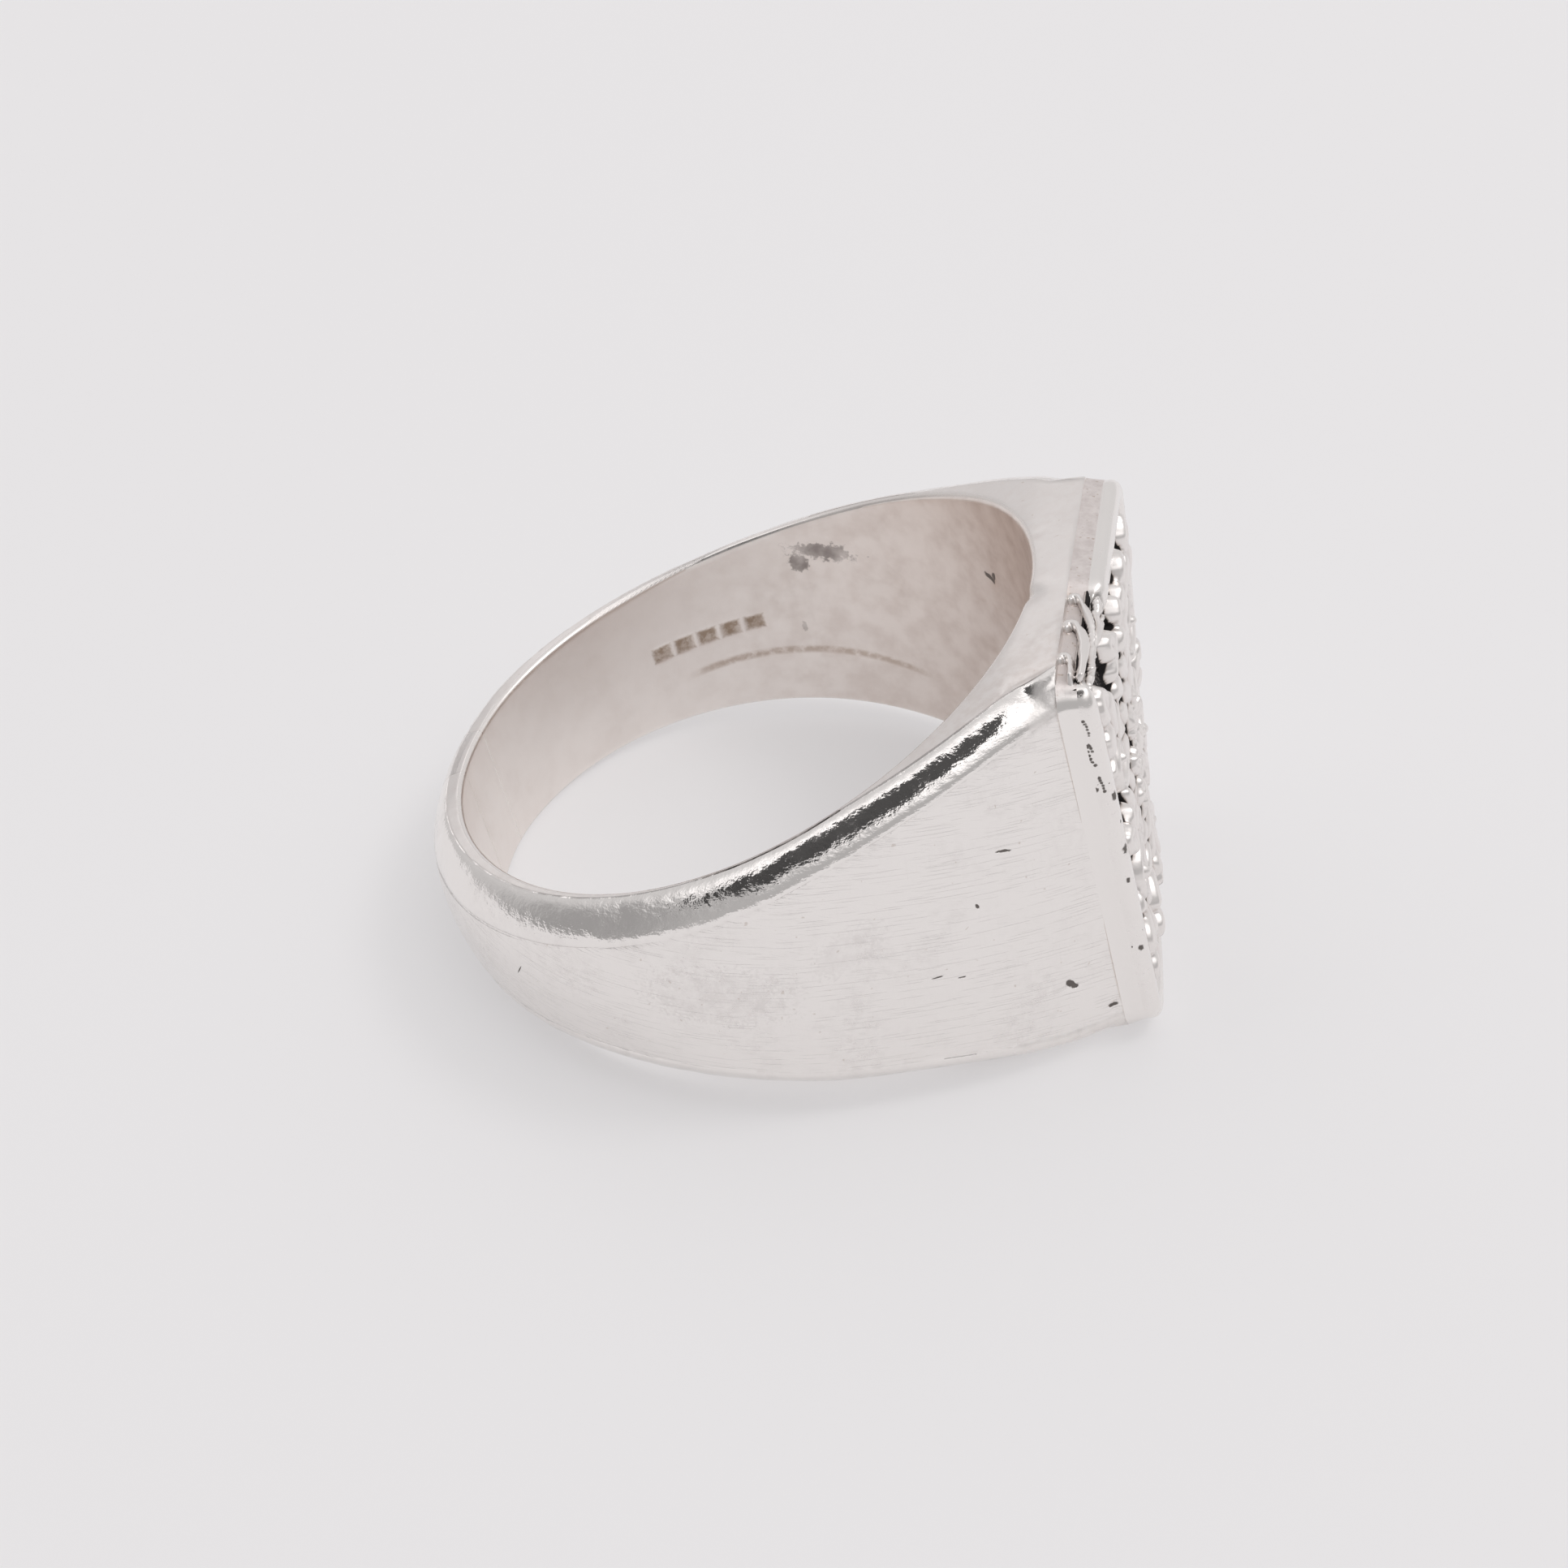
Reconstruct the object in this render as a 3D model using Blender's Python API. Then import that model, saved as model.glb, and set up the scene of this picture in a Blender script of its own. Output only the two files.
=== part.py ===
"""Signet ring, lying on its side: a cast head with shoulders, a sizing piece soldered
into the back of the band, and a cast face plaque with a foliage relief.

The ring is drawn upright in its own frame: the finger hole runs along Z, the head is
at +X, and the two sides face +Z and -Z. An empty then lays it on its lower side.
Lengths are in metres.
"""

import math

import bmesh
import bpy
from mathutils import Vector

MM = 0.001

# Finger hole and band
BORE_RADIUS = 9.75 * MM
BACK_WALL = 1.5 * MM            # thickness of the band at its back
SIDE_WALL = 1.4 * MM            # thickness of the band beside the finger
BACK_HALF_HEIGHT = 2.07 * MM    # half the band's height at its back
SIDE_SAG = 0.7 * MM             # how far the sides hollow between back and head
SAG_POWER = 1.25                # how softly the hollow runs out at its ends
LAND_INSET = 0.15 * MM          # the flat land under the head starts this far inside the bore
RIM_RADIUS = 0.2 * MM           # softened edge of the finger hole
BACK_BLEND = 4                  # how closely the thicker section keeps to the back

# Rounded outer edge: its run across the wall and its drop down the wall
BACK_EDGE_RUN = 0.8 * MM
BACK_EDGE_DROP = 1.2 * MM
SIDE_EDGE_RUN = 1.1 * MM
SIDE_EDGE_DROP = 1.1 * MM
WALL_CROWN = 0.12 * MM          # outward swell of the outer wall at mid height

# Head
HEAD_WALL = 1.35 * MM           # metal between the finger hole and the plaque's seat
HEAD_HALF_HEIGHT = 6.84 * MM
HEAD_HALF_WIDTH = 6.2 * MM
HEAD_SEAT_X = BORE_RADIUS + HEAD_WALL   # flat front of the cast head, behind the plaque

# Shoulders, which curve from the round band to the edge of the seat
SHOULDER_START = math.radians(75.0)     # where the shoulder leaves the round band
SHOULDER_SETBACK = 2.9 * MM     # the curve bends towards a point this far behind the seat
SHOULDER_FLARE = 2.7 * MM       # and this far outside the head's half width
SHOULDER_OVERRUN = 1.5 * MM     # the shoulders run on this far, and the seat trims them

# The lower far corner of the face falls back
CORNER_FALL = 1.6 * MM
FALL_ACROSS = 1.6               # exponents of the fall, across and down the face
FALL_DOWN = 1.3

# Soldered joints
JOINT_GAP = 0.3 * MM            # between two pieces that solder joins
SOLDER_THICKNESS = 0.1 * MM     # the solder leaf in the middle of that gap
SEAM_ANGLE = math.radians(173.4)        # seams of the sizing piece, from the head's middle

# Face plaque and relief
PLAQUE_INSET = 0.15 * MM        # plaque's outline inside the head's
PLAQUE_THICKNESS = 0.75 * MM
PLAQUE_CORNER = 1.1 * MM
PLAQUE_EDGE = 0.2 * MM          # softened edge of the plaque and of its border
LEAST_CORNER = 0.3 * MM         # sharpest corner of any outline drawn in from the plaque's
SOLDER_INSET = 0.1 * MM         # solder leaf inside the plaque's outline
BORDER_WIDTH = 1.0 * MM
BORDER_HEIGHT = 0.4 * MM        # border above the ground of the plaque
RELIEF_CLEARANCE = 0.3 * MM     # relief to border, and relief to ground
RELIEF_THICKNESS = 0.45 * MM
RELIEF_EDGE = 0.2 * MM
RELIEF_EDGE_RUN = 0.25 * MM     # how far the relief's front is drawn in
RELIEF_LOBES = 14
RELIEF_LOBE_DEPTH = 0.55 * MM
RELIEF_SQUARENESS = 5.0         # exponent of the rounded square that the lobes follow

# Fineness of the curves
STATIONS_PER_TURN = 72
CORNER_STEPS = 5
OUTLINE_CORNER_STEPS = 6
FACE_STEPS = 12
LOBE_STEPS = 6
LONG_RUN = 2.0 * MM             # a straight run longer than this is split
LONG_RUN_PARTS = 6
FILL_RINGS = (0.75, 0.5, 0.25)
SHARP_ANGLE = math.radians(35.0)

# The cutter that trims the head to its seat
CUTTER_DEPTH = 8.0 * MM
CUTTER_CORNER = 1.0 * MM


def nearness_to_back(cosine):
    """1 at the back of the band, falling to 0 round its sides. Takes the cosine from the head."""
    return ((1.0 - cosine) / 2.0) ** BACK_BLEND


def band_radius(angle):
    """Outer radius of the band, which is a little thicker at its back."""
    thicker = (BACK_WALL - SIDE_WALL) * nearness_to_back(math.cos(angle))
    return BORE_RADIUS + SIDE_WALL + thicker


def side_slope():
    """Rise of the sides, per length, from the band's back to the head's seat."""
    return (HEAD_HALF_HEIGHT - BACK_HALF_HEIGHT) / (HEAD_SEAT_X + BORE_RADIUS + BACK_WALL)


def half_height(x):
    """Half the ring's height at x: straight lands at both ends, hollowed between them."""
    line = BACK_HALF_HEIGHT + (x + BORE_RADIUS + BACK_WALL) * side_slope()
    land_back = -BORE_RADIUS
    land_head = BORE_RADIUS - LAND_INSET
    middle = (land_back + land_head) / 2.0
    share = (x - middle) / ((land_head - land_back) / 2.0)
    if abs(share) >= 1.0:
        return line
    return line - SIDE_SAG * (1.0 - share * share) ** SAG_POWER


def corner_fall(y, z):
    """How far the face falls back at a point of it, most at its lower far corner."""
    across = (y + HEAD_HALF_WIDTH) / (2.0 * HEAD_HALF_WIDTH)
    down = (HEAD_HALF_HEIGHT - z) / (2.0 * HEAD_HALF_HEIGHT)
    across = min(max(across, 0.0), 1.0)
    down = min(max(down, 0.0), 1.0)
    return CORNER_FALL * across ** FALL_ACROSS * down ** FALL_DOWN


def shoulder_bend():
    """The point that the shoulder's curve bends towards."""
    return Vector((HEAD_SEAT_X - SHOULDER_SETBACK, HEAD_HALF_WIDTH + SHOULDER_FLARE))


def shoulder_points(steps):
    """Plan outline of the +Y shoulder, from the round band to past the head's seat."""
    radius = band_radius(SHOULDER_START)
    start = Vector((radius * math.cos(SHOULDER_START), radius * math.sin(SHOULDER_START)))
    bend = shoulder_bend()
    end = Vector((HEAD_SEAT_X, HEAD_HALF_WIDTH))
    points = []
    for step in range(steps + 1):
        t = step / steps
        points.append(start * (1 - t) ** 2 + bend * 2 * t * (1 - t) + end * t * t)
    points.append(end + (end - bend).normalized() * SHOULDER_OVERRUN)
    return points


def plan_outline():
    """Outer plan outline of the cast piece, from its far seam round the head to its near seam."""
    step = 2.0 * math.pi / STATIONS_PER_TURN
    seam = SEAM_ANGLE - seam_half_angle()
    count = math.ceil((seam - SHOULDER_START) / step)
    far = []
    for index in range(count):
        angle = seam + (SHOULDER_START - seam) * index / count
        far.append(Vector((math.cos(angle), math.sin(angle))) * band_radius(angle))
    far += shoulder_points(FACE_STEPS)
    near = [Vector((point.x, -point.y)) for point in reversed(far)]
    top = far[-1]
    across = []
    for index in range(1, FACE_STEPS):
        across.append(Vector((top.x, top.y * (1.0 - 2.0 * index / FACE_STEPS))))
    return far + across + near


def seam_half_angle():
    """Half the joint gap, as an angle at the middle of the wall."""
    return JOINT_GAP / 2.0 / (BORE_RADIUS + BACK_WALL / 2.0)


def section(outer):
    """One closed section of the band, on the ray from the finger hole's axis to outer."""
    out = outer.normalized()
    inner = out * BORE_RADIUS
    wall = (outer - inner).length
    towards_back = nearness_to_back(out.x)
    run = SIDE_EDGE_RUN + (BACK_EDGE_RUN - SIDE_EDGE_RUN) * towards_back
    drop = SIDE_EDGE_DROP + (BACK_EDGE_DROP - SIDE_EDGE_DROP) * towards_back
    run = min(run, wall - RIM_RADIUS)
    upper = []

    def place(depth, below):
        """A point this deep into the wall from the bore, and this far below the side."""
        at = inner + out * depth
        upper.append(Vector((at.x, at.y, half_height(at.x) - below)))

    place(0.0, RIM_RADIUS)
    place(RIM_RADIUS * 0.3, RIM_RADIUS * 0.3)
    place(RIM_RADIUS, 0.0)
    for index in range(CORNER_STEPS + 1):
        turn = math.pi / 2.0 * index / CORNER_STEPS
        depth = wall - WALL_CROWN - run * (1.0 - math.sin(turn))
        place(depth, drop * (1.0 - math.cos(turn)))
    place(wall - WALL_CROWN * 0.25, drop + upper[-1].z * 0.5)
    middle = Vector((outer.x, outer.y, 0.0))
    lower = [Vector((point.x, point.y, -point.z)) for point in reversed(upper)]
    return upper + [middle] + lower


def loft(name, sections):
    """A closed solid through equal sections, with a flat cap at each end."""
    mesh = bpy.data.meshes.new(name)
    shape = bmesh.new()
    rows = [[shape.verts.new(point) for point in points] for points in sections]
    for first, second in zip(rows, rows[1:]):
        bridge(shape, first, second)
    shape.faces.new(list(reversed(rows[0])))
    shape.faces.new(rows[-1])
    bmesh.ops.recalc_face_normals(shape, faces=shape.faces)
    shape.to_mesh(mesh)
    shape.free()
    return finish(name, mesh)


def finish(name, mesh):
    """Put a mesh in the scene as one named piece, with smooth shading on its curves."""
    mesh.shade_smooth()
    mesh.set_sharp_from_angle(angle=SHARP_ANGLE)
    piece = bpy.data.objects.new(name, mesh)
    bpy.context.scene.collection.objects.link(piece)
    return piece


def rounded_rectangle(half_width, half_rise, corner, steps=OUTLINE_CORNER_STEPS):
    """Points of a rounded rectangle in Y and Z, counter-clockwise seen from +X."""
    points = []
    for quarter in range(4):
        y_side = 1 if quarter in (0, 3) else -1
        z_side = 1 if quarter in (0, 1) else -1
        for step in range(steps + 1):
            turn = math.pi / 2.0 * (quarter + step / steps)
            y = y_side * (half_width - corner) + corner * math.cos(turn)
            z = z_side * (half_rise - corner) + corner * math.sin(turn)
            points.append((y, z))
    return points


def subdivided(points):
    """The same closed outline with its long straight runs split."""
    result = []
    for (y0, z0), (y1, z1) in zip(points, points[1:] + points[:1]):
        count = LONG_RUN_PARTS if math.hypot(y1 - y0, z1 - z0) > LONG_RUN else 1
        for index in range(count):
            share = index / count
            result.append((y0 + (y1 - y0) * share, z0 + (z1 - z0) * share))
    return result


def on_face(x, y, z):
    """A point of the face. Where it falls back, it keeps to the outline of the head there."""
    fall = corner_fall(y, z)
    wider = 1.0 + SHOULDER_FLARE / SHOULDER_SETBACK * fall / HEAD_HALF_WIDTH
    lower = 1.0 - side_slope() * fall / HEAD_HALF_HEIGHT
    return Vector((x - fall, y * wider, z * lower))


def slab(name, levels):
    """A solid from a stack of equal outlines, each at its own X, that follows the face."""
    mesh = bpy.data.meshes.new(name)
    shape = bmesh.new()
    rows = []
    for x, outline in levels:
        rows.append([shape.verts.new(on_face(x, y, z)) for y, z in outline])
    for first, second in zip(rows, rows[1:]):
        bridge(shape, first, second)
    close_with_rings(shape, *levels[0], rows[0])
    close_with_rings(shape, *levels[-1], rows[-1])
    bmesh.ops.recalc_face_normals(shape, faces=shape.faces)
    shape.to_mesh(mesh)
    shape.free()
    return finish(name, mesh)


def bridge(shape, first, second):
    """Join two closed rows of points with faces."""
    size = len(first)
    for index in range(size):
        following = (index + 1) % size
        shape.faces.new((first[index], first[following], second[following], second[index]))


def close_with_rings(shape, x, outline, row):
    """Fill an outline with shrinking rings, so that the fill follows the falling face."""
    for share in FILL_RINGS:
        ring = [shape.verts.new(on_face(x, y * share, z * share)) for y, z in outline]
        bridge(shape, row, ring)
        row = ring
    centre = shape.verts.new(on_face(x, 0.0, 0.0))
    for index in range(len(row)):
        shape.faces.new((row[index], row[(index + 1) % len(row)], centre))


def material(name, colour, roughness, metallic=1.0):
    """A plain Principled material."""
    made = bpy.data.materials.new(name)
    made.use_nodes = True
    shader = made.node_tree.nodes["Principled BSDF"]
    shader.inputs["Base Color"].default_value = (*colour, 1.0)
    shader.inputs["Roughness"].default_value = roughness
    shader.inputs["Metallic"].default_value = metallic
    made.diffuse_color = (*colour, 1.0)
    return made


def head_casting():
    """Head, shoulders and band arms, cast in one, with the seat for the plaque cut flat."""
    piece = loft("head_casting", [section(point) for point in plan_outline()])
    beyond = rounded_rectangle(HEAD_HALF_WIDTH * 2, HEAD_HALF_HEIGHT * 2, CUTTER_CORNER)
    outline = subdivided(beyond)
    cutter = slab("seat_cutter", [
        (HEAD_SEAT_X, outline),
        (HEAD_SEAT_X + CUTTER_DEPTH, outline),
    ])
    cutter.hide_render = True
    cutter.display_type = "WIRE"
    cut = piece.modifiers.new("seat", "BOOLEAN")
    cut.operation = "DIFFERENCE"
    cut.object = cutter
    return piece, cutter


def band_section(angle):
    """The band's section at an angle, away from the shoulders."""
    return section(Vector((math.cos(angle), math.sin(angle))) * band_radius(angle))


def sizing_piece():
    """The short length of band let in at the back when the ring was made to size."""
    start = SEAM_ANGLE + seam_half_angle()
    end = 2.0 * math.pi - start
    count = math.ceil((end - start) / (2.0 * math.pi / STATIONS_PER_TURN))
    sections = []
    for index in range(count + 1):
        sections.append(band_section(start + (end - start) * index / count))
    return loft("sizing_piece", sections)


def seam_leaf(name, angle):
    """The leaf of solder between the cast arm and the sizing piece."""
    half = seam_half_angle() * SOLDER_THICKNESS / JOINT_GAP
    return loft(name, [band_section(angle - half), band_section(angle + half)])


def plaque_outline(inset):
    """The plaque's outline, drawn in by inset."""
    width = HEAD_HALF_WIDTH - PLAQUE_INSET - inset
    height = HEAD_HALF_HEIGHT - PLAQUE_INSET - inset
    corner = max(PLAQUE_CORNER - inset, LEAST_CORNER)
    return subdivided(rounded_rectangle(width, height, corner))


def plaque_back():
    return HEAD_SEAT_X + JOINT_GAP


def face_plaque():
    """The cast plate of the face, with a raised border round a sunk ground."""
    back = plaque_back()
    front = back + PLAQUE_THICKNESS
    ground = front - BORDER_HEIGHT
    return slab("face_plaque", [
        (back, plaque_outline(0.0)),
        (front - PLAQUE_EDGE, plaque_outline(0.0)),
        (front, plaque_outline(PLAQUE_EDGE)),
        (front, plaque_outline(BORDER_WIDTH - PLAQUE_EDGE)),
        (ground, plaque_outline(BORDER_WIDTH)),
    ])


def relief_outline(inset):
    """Scalloped outline of the relief, inside the plaque's border."""
    margin = PLAQUE_INSET + BORDER_WIDTH + RELIEF_CLEARANCE + inset
    half_width = HEAD_HALF_WIDTH - margin
    half_rise = HEAD_HALF_HEIGHT - margin
    count = RELIEF_LOBES * LOBE_STEPS
    points = []
    for index in range(count):
        turn = 2.0 * math.pi * index / count
        sine, cosine = math.sin(turn), math.cos(turn)
        power = RELIEF_SQUARENESS
        round_off = (abs(cosine) ** power + abs(sine) ** power) ** (-1.0 / power)
        scallop = RELIEF_LOBE_DEPTH * (1.0 - abs(math.cos(turn * RELIEF_LOBES / 2.0)))
        points.append(((half_width - scallop) * cosine * round_off,
                       (half_rise - scallop) * sine * round_off))
    return points


def foliage_relief():
    """The foliage, sweated onto the plaque's ground inside its border."""
    back = plaque_back() + PLAQUE_THICKNESS - BORDER_HEIGHT + RELIEF_CLEARANCE
    front = back + RELIEF_THICKNESS
    return slab("foliage_relief", [
        (back, relief_outline(0.0)),
        (front - RELIEF_EDGE, relief_outline(0.0)),
        (front, relief_outline(RELIEF_EDGE_RUN)),
    ])


def plaque_solder():
    """The leaf of solder between the head's seat and the plaque."""
    back = HEAD_SEAT_X + (JOINT_GAP - SOLDER_THICKNESS) / 2.0
    outline = plaque_outline(SOLDER_INSET)
    return slab("plaque_solder", [(back, outline), (back + SOLDER_THICKNESS, outline)])


def lay_on_side(pieces):
    """Parent the pieces to an empty that lays the ring on its lower side, centred."""
    pose = bpy.data.objects.new("ring_lying", None)
    bpy.context.scene.collection.objects.link(pose)
    pose.rotation_euler.y = -math.atan(side_slope())
    for piece in pieces:
        piece.parent = pose
    bpy.context.view_layer.update()
    graph = bpy.context.evaluated_depsgraph_get()
    corners = []
    for piece in pieces:
        if piece.hide_render:
            continue
        solid = piece.evaluated_get(graph)
        corners += [solid.matrix_world @ vertex.co for vertex in solid.data.vertices]
    xs = [corner.x for corner in corners]
    ys = [corner.y for corner in corners]
    pose.location = (
        -(min(xs) + max(xs)) / 2.0,
        -(min(ys) + max(ys)) / 2.0,
        -min(corner.z for corner in corners),
    )


def build():
    for old in list(bpy.data.objects):
        bpy.data.objects.remove(old)
    silver = material("worn_silver", (0.86, 0.83, 0.80), 0.22)
    cast_silver = material("cast_silver", (0.83, 0.80, 0.77), 0.35)
    dark_silver = material("darkened_silver", (0.36, 0.34, 0.32), 0.45)
    solder = material("silver_solder", (0.70, 0.66, 0.62), 0.5)

    casting, cutter = head_casting()
    finishes = {
        casting: silver,
        sizing_piece(): silver,
        seam_leaf("seam_solder_far", SEAM_ANGLE): solder,
        seam_leaf("seam_solder_near", -SEAM_ANGLE): solder,
        plaque_solder(): solder,
        face_plaque(): cast_silver,
        foliage_relief(): dark_silver,
    }
    for piece, finish_material in finishes.items():
        piece.data.materials.append(finish_material)
    lay_on_side([*finishes, cutter])


build()
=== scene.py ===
"""Looks of the worn silver signet ring: the fine surface of each piece, its finish, the floor,
the light and the camera.

Every piece is drawn in the ring's own frame, with the finger hole along Z and the head at +X,
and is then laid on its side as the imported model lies. Lengths are in metres.
"""

import itertools
import math

import bpy
import numpy as np
from mathutils import Matrix, Vector


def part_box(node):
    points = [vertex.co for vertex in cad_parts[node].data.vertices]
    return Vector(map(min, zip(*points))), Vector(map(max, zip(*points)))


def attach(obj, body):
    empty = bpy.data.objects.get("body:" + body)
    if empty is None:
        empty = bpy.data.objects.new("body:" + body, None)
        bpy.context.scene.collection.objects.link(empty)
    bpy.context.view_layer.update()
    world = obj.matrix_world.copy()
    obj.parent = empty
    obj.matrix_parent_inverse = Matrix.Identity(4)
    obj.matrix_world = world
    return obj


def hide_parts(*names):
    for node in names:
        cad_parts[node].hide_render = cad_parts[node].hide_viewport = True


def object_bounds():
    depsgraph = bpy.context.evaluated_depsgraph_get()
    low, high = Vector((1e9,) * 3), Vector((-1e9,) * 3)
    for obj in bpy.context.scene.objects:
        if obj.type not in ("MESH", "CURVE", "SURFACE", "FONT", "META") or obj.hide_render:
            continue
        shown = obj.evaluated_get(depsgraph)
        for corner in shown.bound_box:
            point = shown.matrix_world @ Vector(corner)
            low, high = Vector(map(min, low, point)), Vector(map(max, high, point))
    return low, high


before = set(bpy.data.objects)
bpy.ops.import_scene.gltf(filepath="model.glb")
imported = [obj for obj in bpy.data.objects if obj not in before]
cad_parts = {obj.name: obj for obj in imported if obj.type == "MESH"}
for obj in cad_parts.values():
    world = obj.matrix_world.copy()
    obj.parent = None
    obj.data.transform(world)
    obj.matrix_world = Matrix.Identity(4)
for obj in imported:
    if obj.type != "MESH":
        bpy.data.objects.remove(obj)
cad_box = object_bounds()

MM = 0.001
TO_MM = 1000.0

# Finger hole and band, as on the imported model
BORE_RADIUS = 9.75 * MM
BACK_WALL = 1.5 * MM
SIDE_WALL = 1.4 * MM
BACK_HALF_HEIGHT = 2.07 * MM
SIDE_SAG = 0.7 * MM
SAG_POWER = 1.25
LAND_INSET = 0.15 * MM
RIM_RADIUS = 0.2 * MM
BACK_BLEND = 4
BACK_EDGE_RUN = 0.8 * MM
BACK_EDGE_DROP = 1.2 * MM
SIDE_EDGE_RUN = 1.1 * MM
SIDE_EDGE_DROP = 1.1 * MM
WALL_CROWN = 0.12 * MM

# Head, shoulders and face
HEAD_WALL = 1.35 * MM           # metal between the finger hole and the joint strip
HEAD_SEAT_X = BORE_RADIUS + HEAD_WALL
HEAD_HALF_HEIGHT = 6.84 * MM
HEAD_HALF_WIDTH = 6.2 * MM
SHOULDER_START = math.radians(75.0)
SHOULDER_SETBACK = 2.9 * MM
SHOULDER_FLARE = 2.7 * MM
SHOULDER_OVERRUN = 1.5 * MM
CORNER_FALL = 1.6 * MM
FALL_ACROSS = 1.6
FALL_DOWN = 1.3
SEAM_ANGLE = math.radians(173.4)
SEAM_WIDTH = 0.05 * MM          # the line of solder that shows at each seam
SEAM_SINK = 0.005 * MM          # how far that line lies below the silver beside it

# Plaque: a matte joint strip, then the plate with its raised border
STRIP_WIDTH = 0.55 * MM
STRIP_FRONT_X = HEAD_SEAT_X + STRIP_WIDTH
PLATE_FRONT_X = 12.15 * MM
PLATE_GROUND_X = 11.72 * MM
PLATE_HALF_WIDTH = 6.12 * MM
PLATE_HALF_HEIGHT = 6.66 * MM
PLATE_CORNER_ACROSS = 1.35 * MM
PLATE_CORNER_DOWN = 1.05 * MM
PLATE_EDGE = 0.34 * MM
BORDER_INNER_EDGE = 0.20 * MM
BORDER_WIDTH = 0.8 * MM
SOLDER_FILLET = 0.8 * MM        # radius of the hollow curve between shoulder and plate
STRIP_BACK_RISE = 0.15 * MM     # how much higher the joint is at the head than the plate is
FLUSH_DEPTH = 0.015 * MM        # how far wear has taken down the metal beside the joint
NOTCH_DEPTH = 0.26 * MM         # how far the top edge is sunk under the curled leaves
NOTCH_FAR_Y = -0.85 * MM
NOTCH_NEAR_Y = -5.55 * MM

# Foliage
FIELD_CELL = 0.045 * MM
FIELD_MARGIN = 0.14 * MM        # the carved field stops this far inside the plate's outline
FIELD_BACK_X = 11.55 * MM
FIELD_GROUND = 0.05             # heights are in mm above the plate's ground, which stays covered
FIELD_HIDDEN = -0.1
LEAF_TOP = 0.74                 # most height above the ground


def nearness_to_back(cosine):
    """1 at the back of the band, falling to 0 round its sides. Takes the cosine from the head."""
    return ((1.0 - cosine) / 2.0) ** BACK_BLEND


def side_slope():
    """Rise of the sides, per length, from the band's back to the head's seat."""
    return (HEAD_HALF_HEIGHT - BACK_HALF_HEIGHT) / (HEAD_SEAT_X + BORE_RADIUS + BACK_WALL)


def half_height(x):
    """Half the ring's height at x: straight lands at both ends, hollowed between them."""
    line = BACK_HALF_HEIGHT + (x + BORE_RADIUS + BACK_WALL) * side_slope()
    land_back = -BORE_RADIUS
    land_head = BORE_RADIUS - LAND_INSET
    middle = (land_back + land_head) / 2.0
    share = (x - middle) / ((land_head - land_back) / 2.0)
    return line - SIDE_SAG * np.clip(1.0 - share * share, 0.0, None) ** SAG_POWER


def corner_fall(y, z):
    """How far the face falls back at a point of it, most at its lower far corner."""
    across = np.clip((y + HEAD_HALF_WIDTH) / (2.0 * HEAD_HALF_WIDTH), 0.0, 1.0)
    down = np.clip((HEAD_HALF_HEIGHT - z) / (2.0 * HEAD_HALF_HEIGHT), 0.0, 1.0)
    return CORNER_FALL * across ** FALL_ACROSS * down ** FALL_DOWN


def on_face(x, y, z):
    """Points of the face. Where it falls back, it keeps to the outline of the head there."""
    fall = corner_fall(y, z)
    wider = 1.0 + SHOULDER_FLARE / SHOULDER_SETBACK * fall / HEAD_HALF_WIDTH
    lower = 1.0 - side_slope() * fall / HEAD_HALF_HEIGHT
    return np.stack([x - fall, y * wider, z * lower], axis=-1)


TILT = math.atan(side_slope())
REST_HEIGHT = math.cos(TILT) * (BACK_HALF_HEIGHT + (BORE_RADIUS + BACK_WALL) * side_slope())


def turned(points):
    """Points of the ring's frame, turned as the ring lies, with the bore's centre at the origin."""
    x, y, z = points[..., 0], points[..., 1], points[..., 2]
    cosine, sine = math.cos(TILT), math.sin(TILT)
    return np.stack([x * cosine - z * sine, y, x * sine + z * cosine], axis=-1)


def bore_centre():
    """Where the bore's centre lies. The back of the band settles X, and the floor settles Z."""
    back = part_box("sizing_piece")[0].x
    angles = np.linspace(SEAM_ANGLE, 2.0 * math.pi - SEAM_ANGLE, 9)
    band = band_sections([band_point(angle) for angle in angles])[0]
    return np.array([back - turned(band)[..., 0].min(), 0.0, REST_HEIGHT])


def laid(points):
    """Points of the ring's frame, put where the ring lies."""
    return turned(points) + BORE_CENTRE


def rumple(points, size, seed):
    """Smooth random height from -1 to 1 at each point, with features of about this size."""
    count = 24
    lattice = np.random.default_rng(seed).uniform(-1.0, 1.0, (count, count, count))
    scaled = points / size + 100.0
    cell = np.floor(scaled).astype(int)
    part = scaled - cell
    blend = part * part * (3.0 - 2.0 * part)
    total = np.zeros(points.shape[:-1])
    for corner in itertools.product((0, 1), repeat=3):
        weight = np.prod(np.where(np.array(corner) == 1, blend, 1.0 - blend), axis=-1)
        place = (cell + np.array(corner)) % count
        total += weight * lattice[place[..., 0], place[..., 1], place[..., 2]]
    return total


# ---------------------------------------------------------------- band

RIM_STEPS = 4
SIDE_STEPS = 7
EDGE_STEPS = 18
WALL_STEPS = 56
INNER_STEPS = 50
ARM_STEPS = 180
FAR_SHOULDER_STEPS = 56
NEAR_SHOULDER_STEPS = 84
SEAT_STEPS = 34
SIZED_STEPS = 26
FACET_TURN = math.radians(46.0)     # where the worn edge is flattest, between side and wall
FACET_SPREAD = math.radians(13.0)
FACET_STRENGTH = 3.0


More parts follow.
